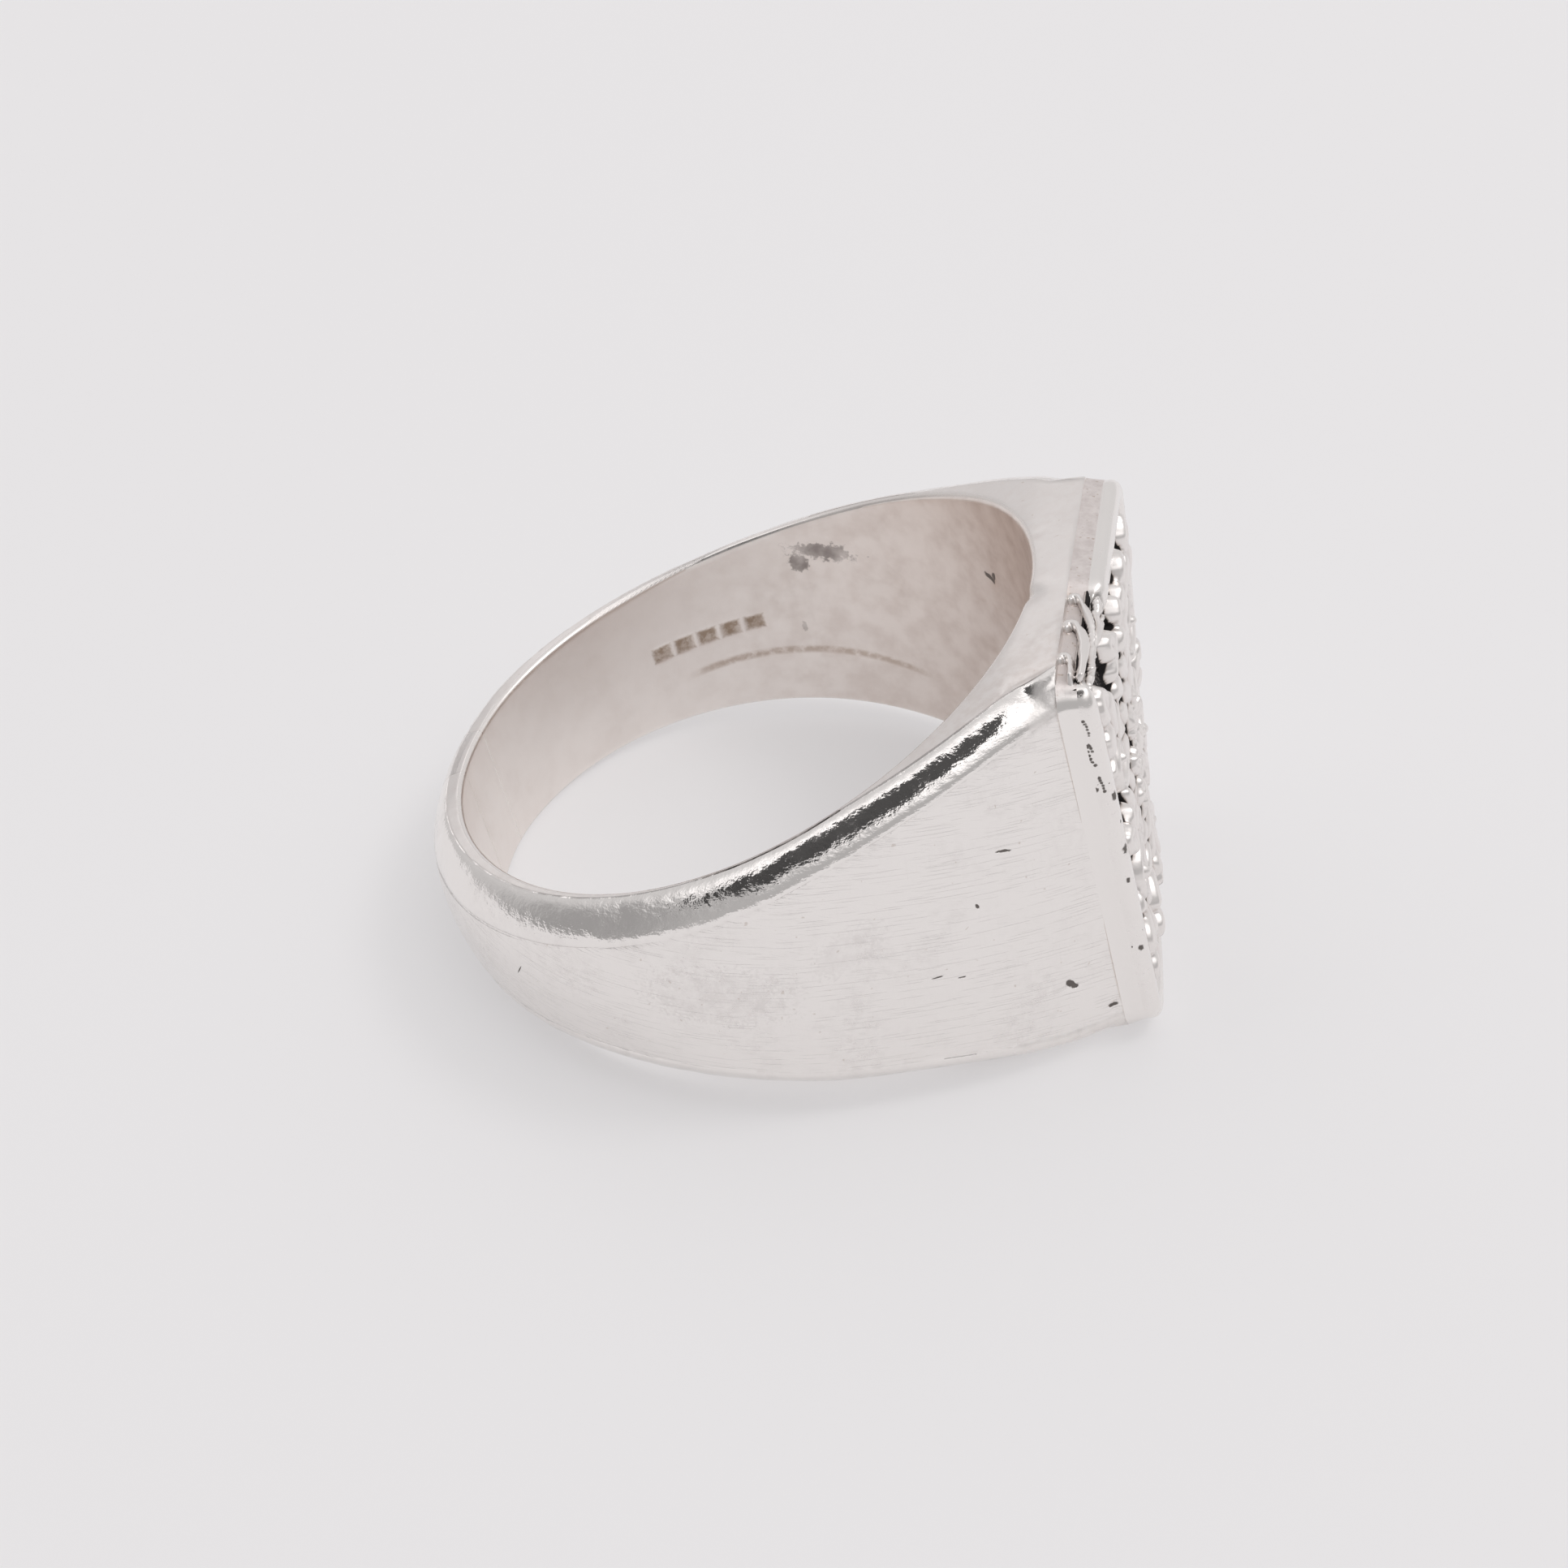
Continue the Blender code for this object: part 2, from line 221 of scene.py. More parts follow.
def edge_curve():
    """Shares of the edge's run and drop at even turns from side to wall, flattest at its facet."""
    finer = 8
    turn = np.linspace(0.0, math.pi / 2.0, EDGE_STEPS * finer + 1)
    reach = 1.0 + FACET_STRENGTH * np.exp(-((turn - FACET_TURN) / FACET_SPREAD) ** 2)
    shares = []
    for component in (np.cos(turn), np.sin(turn)):
        total = np.concatenate([[0.0], np.cumsum(reach[1:] * component[1:])])
        shares.append((total / total[-1])[::finer])
    return shares


EDGE_CURVE = edge_curve()


def half_seam():
    """Half the width of a seam, as an angle at the middle of the wall."""
    return SEAM_WIDTH / 2.0 / (BORE_RADIUS + BACK_WALL / 2.0)


def run_along(plan):
    """Length along a plan outline at each of its points, from its middle one."""
    steps = np.linalg.norm(np.diff(plan, axis=0), axis=1)
    run = np.concatenate([[0.0], np.cumsum(steps)])
    return run - run[len(run) // 2]


def out_from_bore(points):
    """Unit directions, square to the finger hole's axis and away from it."""
    out = points * (1, 1, 0)
    return out / np.linalg.norm(out, axis=-1, keepdims=True)


def band_point(angle):
    """Plan point of the band's outer wall at an angle from the head."""
    radius = BORE_RADIUS + SIDE_WALL + (BACK_WALL - SIDE_WALL) * nearness_to_back(math.cos(angle))
    return np.array([math.cos(angle), math.sin(angle)]) * radius


SHOULDER_TURN = math.atan2(SHOULDER_FLARE, SHOULDER_SETBACK)
FILLET_REACH = SOLDER_FILLET * math.tan(SHOULDER_TURN / 2.0)


def fillet_rise(ahead):
    """How far the hollow curve stands off the plate's side, this far ahead of the head's seat."""
    short = np.clip(FILLET_REACH - ahead, 0.0, None)
    return SOLDER_FILLET - np.sqrt(SOLDER_FILLET ** 2 - short ** 2)


def shoulder_plan(steps):
    """Plan points of the +Y shoulder, from the round band to past the head's seat."""
    start = band_point(SHOULDER_START)
    bend = np.array([HEAD_SEAT_X - SHOULDER_SETBACK, HEAD_HALF_WIDTH + SHOULDER_FLARE])
    end = np.array([HEAD_SEAT_X, HEAD_HALF_WIDTH])
    points = []
    for t in np.linspace(0.0, 1.0, steps + 1):
        points.append(start * (1 - t) ** 2 + bend * 2 * t * (1 - t) + end * t * t)
    points = [point for point in points if np.linalg.norm(end - point) > FILLET_REACH]
    centre = end + (FILLET_REACH, SOLDER_FILLET)
    last_turn = math.asin(FILLET_REACH / SOLDER_FILLET)
    for turn in np.linspace(SHOULDER_TURN, last_turn, 7):
        points.append(centre - SOLDER_FILLET * np.array([math.sin(turn), math.cos(turn)]))
    onward = np.array([math.cos(last_turn), -math.sin(last_turn)])
    last = points[-1]
    for share in (0.1, 0.4, 1.0):
        points.append(last + onward * SHOULDER_OVERRUN * share)
    return points


def cast_plan():
    """Outer plan of the cast piece, from its far seam round the head to its near seam."""
    seam = SEAM_ANGLE - half_seam()
    arm = [band_point(angle) for angle in np.linspace(seam, SHOULDER_START, ARM_STEPS)[:-1]]
    far = arm + shoulder_plan(FAR_SHOULDER_STEPS)
    near = [point * (1, -1) for point in reversed(arm + shoulder_plan(NEAR_SHOULDER_STEPS))]
    shares = np.linspace(0.0, 1.0, SEAT_STEPS)[1:-1]
    across = [far[-1] + (near[0] - far[-1]) * share for share in shares]
    return far + across + near


def profile(wall, near_back):
    """Upper half of one section, as depth from the bore and drop below the side."""
    run = SIDE_EDGE_RUN + (BACK_EDGE_RUN - SIDE_EDGE_RUN) * near_back
    drop = SIDE_EDGE_DROP + (BACK_EDGE_DROP - SIDE_EDGE_DROP) * near_back
    run = min(run, wall - RIM_RADIUS - WALL_CROWN)
    quarter = np.linspace(0.0, math.pi / 2.0, RIM_STEPS + 1)[:-1]
    depth = list(RIM_RADIUS * (1.0 - np.cos(quarter)))
    below = list(RIM_RADIUS * (1.0 - np.sin(quarter)))
    flat_end = wall - WALL_CROWN - run
    for share in np.linspace(0.0, 1.0, SIDE_STEPS + 1)[:-1]:
        depth.append(RIM_RADIUS + (flat_end - RIM_RADIUS) * share)
        below.append(0.0)
    for run_share, drop_share in zip(*EDGE_CURVE):
        depth.append(flat_end + run * run_share)
        below.append(drop * drop_share)
    return np.array(depth), np.array(below)


def band_sections(plan):
    """Sections through plan points: their points, and for each the weights of its regions."""
    rows = []
    for outer in plan:
        reach = np.linalg.norm(outer)
        out = outer / reach
        wall = reach - BORE_RADIUS
        depth, below = profile(wall, nearness_to_back(out[0]))
        plan_at = out * (BORE_RADIUS + depth)[:, None]
        upper = np.column_stack([plan_at, half_height(plan_at[:, 0]) - below])
        share = np.linspace(1.0, -1.0, WALL_STEPS + 1)[1:-1]
        crowned = wall - WALL_CROWN * share ** 2
        wall_at = out * (BORE_RADIUS + crowned)[:, None]
        outside = np.column_stack([wall_at, upper[-1, 2] * share])
        lower = upper[::-1] * (1, 1, -1)
        share = np.linspace(-1.0, 1.0, INNER_STEPS + 1)[1:-1]
        inner_at = np.tile(out * BORE_RADIUS, (len(share), 1))
        inside = np.column_stack([inner_at, upper[0, 2] * share])
        rows.append(np.vstack([upper, outside, lower, inside]))
    rim = [0.0] * RIM_STEPS
    half = {
        "flat": rim + [1.0] * (SIDE_STEPS + 1) + [0.0] * EDGE_STEPS,
        "edge": rim + [0.0] * SIDE_STEPS + [0.0] + [1.0] * EDGE_STEPS,
        "bore": [1.0, 0.8, 0.5, 0.2] + [0.0] * (SIDE_STEPS + 1 + EDGE_STEPS),
        "wall": [0.0] * (RIM_STEPS + SIDE_STEPS + 1) + [0.0] * (EDGE_STEPS - 1) + [1.0],
    }
    middle = {"flat": 0.0, "edge": 0.0, "bore": 0.0, "wall": 1.0}
    inner = {"flat": 0.0, "edge": 0.0, "bore": 1.0, "wall": 0.0}
    regions = {}
    for name, values in half.items():
        regions[name] = np.array(values + [middle[name]] * (WALL_STEPS - 1) + values[::-1]
                                 + [inner[name]] * (INNER_STEPS - 1))
    return np.array(rows), regions


def grid_normals(points):
    """Normals of a grid of points that is closed along its second axis, pointing outwards."""
    along = np.gradient(points, axis=0)
    around = np.roll(points, -1, axis=1) - np.roll(points, 1, axis=1)
    normals = np.cross(around, along)
    lengths = np.linalg.norm(normals, axis=-1, keepdims=True)
    normals /= np.maximum(lengths, 1e-12)
    middle = points.mean(axis=1, keepdims=True)
    if ((points - middle) * normals).sum() < 0.0:
        normals = -normals
    return normals


# Slow and fine wear: most depth and size of its hollows, in mm, and where it lies
WEAR = (
    (0.018, 3.2, "polished"),
    (0.006, 1.1, "outside"),
    (0.011, 0.75, "edge"),
    (0.005, 0.35, "edge"),
    (0.006, 0.8, "flat"),
    (0.012, 2.6, "bore"),
)

# Knocks in the silver: place in the ring's frame, radius and depth, in mm
KNOCKS = (
    ((9.86, -7.16, -3.59), 0.26, 0.12),
    ((10.95, -6.20, -5.23), 0.22, 0.09),
    ((8.97, -7.83, 2.24), 0.30, 0.04),
    ((8.02, -8.44, 0.78), 0.20, 0.04),
    ((9.87, -0.77, 6.62), 0.30, 0.16),
    ((7.01, 6.77, 2.46), 0.22, 0.08),
    ((-2.19, -10.42, 3.07), 0.60, 0.05),
    ((10.25, -5.95, 6.45), 0.55, 0.10),
    ((-8.6, -7.0, -1.0), 0.9, 0.05),
    ((4.0, 10.2, 1.5), 1.1, 0.05),
    ((9.2, 7.6, -1.4), 0.8, 0.05),
    ((6.8, 9.0, 3.1), 0.35, 0.05),
)


def worn(points, regions):
    """The sections with the hollows, ripples and knocks of wear. Metal is only taken away."""
    normals = grid_normals(points)
    where = dict(regions, polished=regions["wall"] + regions["edge"], outside=1.0 - regions["bore"])
    away = np.zeros(points.shape[:-1])
    for seed, (depth, size, region) in enumerate(WEAR, start=1):
        away += depth * MM * (1.0 + rumple(points, size * MM, seed)) * where[region]
    at_joint = smoothly(points[..., 0], HEAD_SEAT_X - 0.8 * MM, HEAD_SEAT_X - 0.1 * MM)
    away += (FLUSH_DEPTH - away) * at_joint * regions["wall"]
    for place, radius, depth in KNOCKS:
        distance = np.linalg.norm(points - np.array(place) * MM, axis=-1)
        away += depth * MM * np.exp(-(distance / (radius * MM)) ** 2)
    return points - normals * away[..., None]


# The step left along the inside of the far arm: height at its middle, slope and bow, with
# lengths along the bore and up it in mm
STEP_MIDDLE_ALONG = -15.88
STEP_MIDDLE_UP = -1.41
STEP_SLOPE = -0.166
STEP_BOW = -0.0278
STEP_REACH = 4.3
STEP_SOFTNESS = 0.07
STEP_DEPTH = 0.05


def step_line(along):
    """Height of the step at a length along the bore. Takes numbers or Fields, in mm."""
    past = along - STEP_MIDDLE_ALONG
    return STEP_MIDDLE_UP + past * STEP_SLOPE + past * past * STEP_BOW


# Five blank punch marks in a row on the inside of the far arm, in mm along the bore and up it
PUNCH_START = -21.45
PUNCH_PITCH = 0.86
PUNCH_COUNT = 5
PUNCH_UP = 0.12
PUNCH_HALF_LENGTH = 0.40        # as a share of the pitch
PUNCH_HALF_HEIGHT = 0.27
PUNCH_DEPTH = 0.03


def punched(points, uv, regions):
    """The bore with its blank punch marks pressed in."""
    along, up = uv[..., 0], uv[..., 1]
    cell = (along - PUNCH_START) / PUNCH_PITCH
    local = np.abs(cell - np.floor(cell) - 0.5) / PUNCH_HALF_LENGTH
    reach = np.maximum(local, np.abs(up - PUNCH_UP) / PUNCH_HALF_HEIGHT)
    inside = (1.0 - smoothly(reach, 0.7, 1.1)) * (cell > 0.0) * (cell < PUNCH_COUNT)
    pressed = PUNCH_DEPTH * MM * inside * (regions["bore"] >= 1.0)
    return points + out_from_bore(points) * pressed[..., None]


def step_in_bore(points, uv, regions):
    """A slight step along the inside of the far arm, where the bore was scraped."""
    along, up = uv[..., 0], uv[..., 1]
    rise = 0.5 + 0.5 * np.tanh((up - step_line(along)) / STEP_SOFTNESS)
    fade = np.exp(-((along - STEP_MIDDLE_ALONG) / STEP_REACH) ** 4)
    scraped = STEP_DEPTH * MM * rise * fade * (regions["bore"] >= 1.0)
    return points + out_from_bore(points) * scraped[..., None]


def piece_from(name, points, faces, attributes=None, uv=None, sharp=True):
    """A mesh object at the origin from points where the ring lies."""
    mesh = bpy.data.meshes.new(name)
    mesh.from_pydata(points.tolist(), [], faces)
    for key, values in (attributes or {}).items():
        layer = mesh.attributes.new(key, "FLOAT", "POINT")
        layer.data.foreach_set("value", np.asarray(values, np.float32).ravel())
    if uv is not None:
        layer = mesh.uv_layers.new(name="wrap")
        corners = np.empty(len(mesh.loops), np.int32)
        mesh.loops.foreach_get("vertex_index", corners)
        layer.data.foreach_set("uv", np.asarray(uv, np.float32)[corners].ravel())
    mesh.validate()
    mesh.shade_smooth()
    if sharp:
        mesh.set_sharp_from_angle(angle=math.radians(48.0))
    piece = bpy.data.objects.new(name, mesh)
    bpy.context.scene.collection.objects.link(piece)
    face_outwards(piece)
    return piece


def face_outwards(piece):
    """Turn the faces of a closed piece to point out, if they point in."""
    mesh = piece.data
    mesh.calc_loop_triangles()
    points = np.empty(len(mesh.vertices) * 3)
    mesh.vertices.foreach_get("co", points)
    points = points.reshape(-1, 3) - points.reshape(-1, 3).mean(axis=0)
    corners = np.empty(len(mesh.loop_triangles) * 3, np.int32)
    mesh.loop_triangles.foreach_get("vertices", corners)
    solid = np.linalg.det(points[corners.reshape(-1, 3)]).sum()
    if solid < 0.0:
        mesh.flip_normals()


def tube_faces(rows, columns):
    """Faces of a grid that is closed round its columns, with a fan over each end."""
    faces = []
    for row in range(rows - 1):
        start = row * columns
        for column in range(columns):
            following = (column + 1) % columns
            faces.append((start + column, start + following,
                          start + columns + following, start + columns + column))
    first_centre = rows * columns
    last = (rows - 1) * columns
    for column in range(columns):
        following = (column + 1) % columns
        faces.append((following, column, first_centre))
        faces.append((last + column, last + following, first_centre + 1))
    return faces


def wrap_uv(points, plan):
    """Millimetres along the band and up it: along the bore inside, along the wall outside."""
    plan = np.array(plan)
    outer_run = run_along(plan)
    angles = np.unwrap(np.arctan2(plan[:, 1], plan[:, 0]))
    bore_run = -angles * BORE_RADIUS
    radius = np.linalg.norm(points[..., :2], axis=-1)
    reach = np.linalg.norm(plan, axis=1)[:, None]
    depth = np.clip((radius - BORE_RADIUS) / (reach - BORE_RADIUS), 0.0, 1.0)
    run = bore_run[:, None] * (1.0 - depth) + outer_run[:, None] * depth
    return np.stack([run, points[..., 2]], axis=-1) * TO_MM


def band_piece(name, plan, shape=None):
    """A length of the band, worn and laid on its side."""
    points, regions = band_sections(plan)
    uv = wrap_uv(points, plan)
    points = punched(step_in_bore(points, uv, regions), uv, regions)
    points = worn(points, regions)
    if shape:
        points = shape(points)
    rows, columns = points.shape[:2]
    ends = np.array([points[0].mean(axis=0), points[-1].mean(axis=0)])
    flat = np.vstack([points.reshape(-1, 3), ends])
    flat_uv = np.vstack([uv.reshape(-1, 2), uv[0].mean(axis=0), uv[-1].mean(axis=0)])
    attributes = {}
    for key, values in regions.items():
        attributes[key] = np.append(np.tile(values, rows), [0.0, 0.0])
    return piece_from(name, laid(flat), tube_faces(rows, columns), attributes, flat_uv)


def seated(points):
    """Trim the head flat in front, to the face's own fall, and to its sides there."""
    limit = HEAD_SEAT_X - corner_fall(points[..., 1], points[..., 2])
    points = points.copy()
    ahead = points[..., 0] > limit
    points[..., 0] = np.minimum(points[..., 0], limit)
    side = half_height(points[..., 0]) - 0.02 * MM
    points[..., 2] = np.where(ahead, np.clip(points[..., 2], -side, side), points[..., 2])
    return points


def seam_line(name, angle):
    """The line of solder that fills a seam, a hair below the silver beside it."""
    plan = [band_point(angle + turn) for turn in (-half_seam(), 0.0, half_seam())]

    def sunk(points):
        return points - grid_normals(points) * SEAM_SINK

    return band_piece(name, plan, sunk)


# ---------------------------------------------------------------- plaque

OUTLINE_CORNER_STEPS = 14
OUTLINE_SIDE_STEPS = 44


def plate_outline(inset, rise=0.0):
    """Rounded outline of the plate in Y and Z, drawn in by inset, counter-clockwise from +X."""
    width, height = PLATE_HALF_WIDTH - inset, PLATE_HALF_HEIGHT - inset + rise
    across = max(PLATE_CORNER_ACROSS - inset, 0.25 * MM)
    down = max(PLATE_CORNER_DOWN - inset, 0.25 * MM)
    points = []
    for quarter, (y_side, z_side) in enumerate(((1, 1), (-1, 1), (-1, -1), (1, -1))):
        turns = math.pi / 2.0 * (quarter + np.linspace(0.0, 1.0, OUTLINE_CORNER_STEPS))
        corner = np.column_stack([y_side * (width - across) + across * np.cos(turns),
                                  z_side * (height - down) + down * np.sin(turns)])
        points.append(corner)
    outline = []
    for corner, following in zip(points, points[1:] + points[:1]):
        outline.append(corner)
        shares = np.linspace(0.0, 1.0, OUTLINE_SIDE_STEPS)[1:-1, None]
        outline.append(corner[-1] * (1.0 - shares) + following[0] * shares)
    return np.vstack(outline)


def stack_piece(name, levels, rough=0.0):
    """A closed piece from outlines at rising X, filled with rings at both ends."""
    rows = []
    for share in (0.0, 0.3, 0.6, 0.85):
        rows.append((levels[0][0], levels[0][1] * share))
    rows += levels
    for share in (0.85, 0.6, 0.3, 0.0):
        rows.append((levels[-1][0], levels[-1][1] * share))
    points = np.array([on_face(np.full(len(line), x), line[:, 0], line[:, 1])
                       for x, line in rows])
    if rough:
        away = rough * (1.0 + rumple(points, 1.3 * MM, 11)) / 2.0
        away += rough * 0.5 * (1.0 + rumple(points, 0.4 * MM, 12)) / 2.0
        sideways = points * (0, 1, 1)
        length = np.maximum(np.linalg.norm(sideways, axis=-1, keepdims=True), 1e-9)
        points = points - sideways / length * away[..., None]
    sunk = notch(points)
    points[..., 2] -= NOTCH_DEPTH * sunk
    points[..., 0] -= NOTCH_DEPTH * sunk * smoothly(points[..., 0], STRIP_FRONT_X, PLATE_FRONT_X)
    rows_count, columns = points.shape[:2]
    inner = points[1:-1].reshape(-1, 3)
    poles = np.array([points[0, 0], points[-1, 0]])
    faces = tube_faces(rows_count - 2, columns)
    on_top = np.clip((inner[:, 2] - PLATE_HALF_HEIGHT + 0.55 * MM) / (0.3 * MM), 0.0, 1.0)
    attributes = {
        "top": np.append(on_top, [0.0, 0.0]),
        "notch": np.append(sunk[1:-1].ravel(), [0.0, 0.0]),
    }
    return piece_from(name, laid(np.vstack([inner, poles])), faces, attributes)


def smoothly(values, low, high):
    """0 at low and 1 at high, smooth between."""
    share = np.clip((values - low) / (high - low), 0.0, 1.0)
    return share * share * (3.0 - 2.0 * share)


def notch(points):
    """1 along the stretch of the top edge that the curled leaves lie over, 0 elsewhere."""
    y, z = points[..., 1], points[..., 2]
    stretch = smoothly(y, NOTCH_NEAR_Y - 0.35 * MM, NOTCH_NEAR_Y + 0.45 * MM)
    stretch = stretch * smoothly(-y, -NOTCH_FAR_Y - 0.15 * MM, -NOTCH_FAR_Y + 0.35 * MM)
    return stretch * smoothly(z, PLATE_HALF_HEIGHT - 1.3 * MM, PLATE_HALF_HEIGHT - 0.3 * MM)


def joint_strip():
    """The matte solder joint that shows between the head and the plate."""
    levels = []
    for share in np.linspace(0.0, 1.0, 7):
        back = HEAD_SEAT_X - 0.02 * MM
        x = back + (STRIP_FRONT_X + 0.02 * MM - back) * share
        flare = fillet_rise(x - HEAD_SEAT_X) + (HEAD_HALF_WIDTH - PLATE_HALF_WIDTH) * (1.0 - share)
        outline = plate_outline(-flare, STRIP_BACK_RISE * (1.0 - share) - flare)
        fallen = smoothly(corner_fall(outline[:, 0], outline[:, 1]), 0.0, 0.3 * MM)
        outline[:, 0] -= flare * fallen * (outline[:, 0] > 0.0)
        levels.append((x, outline))
    return stack_piece("joint_strip", levels, rough=0.02 * MM)


def face_plate():
    """The cast plate of the face: a softened edge, a raised border and a sunk ground."""
    levels = [(STRIP_FRONT_X, plate_outline(0.0)),
              (STRIP_FRONT_X + 0.05 * MM, plate_outline(0.0))]
    for turn in np.linspace(0.0, math.pi / 2.0, 7):
        levels.append((PLATE_FRONT_X - PLATE_EDGE * (1.0 - math.sin(turn)),
                       plate_outline(PLATE_EDGE * (1.0 - math.cos(turn)))))
    levels.append((PLATE_FRONT_X, plate_outline(BORDER_WIDTH - BORDER_INNER_EDGE)))
    for turn in np.linspace(0.0, math.pi / 2.0, 5)[1:]:
        levels.append((PLATE_FRONT_X - BORDER_INNER_EDGE * (1.0 - math.cos(turn)),
                       plate_outline(BORDER_WIDTH - BORDER_INNER_EDGE * (1.0 - math.sin(turn)))))
    levels.append((PLATE_GROUND_X, plate_outline(BORDER_WIDTH)))
    return stack_piece("face_plate", levels, rough=0.02 * MM)


# ---------------------------------------------------------------- foliage

def bend(points, count=44):
    """A smooth spine through a start, a control point and an end, or a given list."""
    start, control, end = (np.array(point, float) for point in points)
    t = np.linspace(0.0, 1.0, count)[:, None]
    return start * (1 - t) ** 2 + control * 2 * t * (1 - t) + end * t * t


def spiral(centre, radius, end_radius, start_angle, turns, count=90):
    """A spine that winds in to a centre."""
    t = np.linspace(0.0, 1.0, count)
    angle = start_angle + turns * 2.0 * math.pi * t
    reach = radius * (end_radius / radius) ** t
    return np.column_stack([centre[0] + reach * np.cos(angle), centre[1] + reach * np.sin(angle)])


def nearest_on(spine, y, z):
    """For each place of the field: the share along the spine, and the distance from it."""
    best = np.full(y.shape, 1e9)
    share = np.zeros(y.shape)
    side = np.zeros(y.shape)
    tangents = np.gradient(spine, axis=0)
    for index, (point, tangent) in enumerate(zip(spine, tangents)):
        dy, dz = y - point[0], z - point[1]
        distance = np.hypot(dy, dz)
        closer = distance < best
        best = np.where(closer, distance, best)
        share = np.where(closer, index / (len(spine) - 1), share)
        side = np.where(closer, np.sign(tangent[0] * dz - tangent[1] * dy), side)
    return share, best, side


class Carving:
    """A height field over the face, in mm, that leaves and stems are carved into in turn."""

    def __init__(self, y, z, warp=0.16):
        self.y = y + rumple(np.stack([y, z, y * 0], axis=-1), 1.9, 21) * warp
        self.z = z + rumple(np.stack([y, z, y * 0], axis=-1), 1.7, 22) * warp
        grain = rumple(np.stack([y, z, y * 0], axis=-1), 0.16, 23)
        self.height = FIELD_GROUND + 0.02 * grain

    def lay(self, inside, rise, gap):
        """Lay a shape over what is there, with an undercut groove just outside it."""
        groove = np.exp(-(np.clip(gap, 0.0, None) / 0.075) ** 2)
        cut = self.height - 0.26 * groove * (gap > 0.0)
        self.height = np.where(inside, np.maximum(rise, self.height * 0.2 + rise * 0.8), cut)

    def leaf(self, spine, width, lobes, lift, depth):
        """A lobed leaf, domed between its veins, whose tip curls up."""
        share, off, side = nearest_on(spine, self.y, self.z)
        envelope = width * np.sin(math.pi * np.clip(share * 0.86 + 0.14, 0.0, 1.0)) ** 0.55
        phase = share * lobes - 0.6 * off / width + 0.06 * side
        scallop = 1.0 - 0.42 * (1.0 - np.abs(np.sin(math.pi * phase))) ** 1.6
        edge = np.maximum(envelope * scallop, 0.02)
        across = off / edge
        dome = np.sqrt(np.clip(1.0 - across ** 2.4, 0.0, 1.0))
        side_vein = np.exp(-(np.sin(math.pi * phase) / 0.30) ** 2) * np.clip(across * 2.2, 0.0, 1.0)
        spine_vein = np.exp(-(off / 0.085) ** 2)
        lobe_dome = np.abs(np.sin(math.pi * phase)) ** 0.7
        curl = np.exp(-((share - 0.82) / 0.16) ** 2)
        rise = lift + depth * (0.42 + 0.40 * dome + 0.18 * lobe_dome * across)
        rise += depth * (0.28 * curl - 0.30 * side_vein - 0.34 * spine_vein * (share < 0.93))
        self.lay(across < 1.0, rise, off - edge)

    def stem(self, spine, radius, lift, depth):
        """A round stem with a groove along it."""
        share, off, _ = nearest_on(spine, self.y, self.z)
        taper = radius * (1.0 - 0.35 * share)
        dome = np.sqrt(np.clip(1.0 - (off / taper) ** 2, 0.0, 1.0))
        groove = np.exp(-(off / (radius * 0.28)) ** 2)
        rise = lift + depth * (0.25 + 0.75 * dome - 0.22 * groove)
        self.lay(off < taper, rise, off - taper)

    def boss(self, centre, radius, lift, depth):
        """A round bead."""
        off = np.hypot(self.y - centre[0], self.z - centre[1])
        dome = np.sqrt(np.clip(1.0 - (off / radius) ** 2, 0.0, 1.0))
        self.lay(off < radius, lift + depth * dome, off - radius)


def carve_foliage(y, z):
    """The whole design: corner, side and crown leaves, scrolls between them, and a rosette."""
    carving = Carving(y, z)
    quarters = list(itertools.product((1, -1), (1, -1)))
    for side, up in quarters:
        carving.leaf(bend([(side * 0.9, up * 1.5), (side * 3.9, up * 1.9), (side * 4.9, up * 5.6)]),
                     1.42, 5, 0.02, 0.50)
    for side in (1, -1):
        carving.leaf(bend([(side * 1.0, 0.3), (side * 3.0, -0.9), (side * 5.3, 0.5)]),
                     1.10, 4, 0.05, 0.50)
    for side, up in quarters:
        centre = (side * 3.55, up * 2.25)
        start = math.atan2(-up * 0.9, -side)
        carving.stem(spiral(centre, 1.15, 0.22, start, side * up * 1.35), 0.23, 0.10, 0.50)
        carving.boss(centre, 0.30, 0.18, 0.50)
    for side, up in quarters:
        carving.leaf(bend([(side * 0.5, up * 1.3), (side * 0.9, up * 3.9), (side * 2.7, up * 5.75)]),
                     0.98, 4, 0.08, 0.52)
    for up in (1, -1):
        carving.leaf(bend([(0.0, up * 0.9), (0.1, up * 3.0), (0.0, up * 5.7)]),
                     1.12, 5, 0.16, 0.52)
    for index in range(8):
        turn = math.pi / 4.0 * (index + 0.5)
        tip = (1.95 * math.cos(turn), 1.95 * math.sin(turn))
        root = (0.3 * math.cos(turn), 0.3 * math.sin(turn))
        middle = (1.1 * math.cos(turn + 0.18), 1.1 * math.sin(turn + 0.18))
        carving.leaf(bend([root, middle, tip], 24), 0.52, 3, 0.24, 0.44)
    carving.boss((0.0, 0.0), 0.52, 0.34, 0.34)
    return carving.height


def softened(values, cells):
    """Values averaged over neighbouring cells, in both directions."""
    for axis in (0, 1):
        total = np.zeros_like(values)
        weights = 0.0
        reach = math.ceil(3 * cells)
        for offset in range(-reach, reach + 1):
            weight = math.exp(-0.5 * (offset / cells) ** 2)
            index = np.clip(np.arange(values.shape[axis]) + offset, 0, values.shape[axis] - 1)
            total += weight * np.take(values, index, axis=axis)
            weights += weight
        values = total / weights
    return values


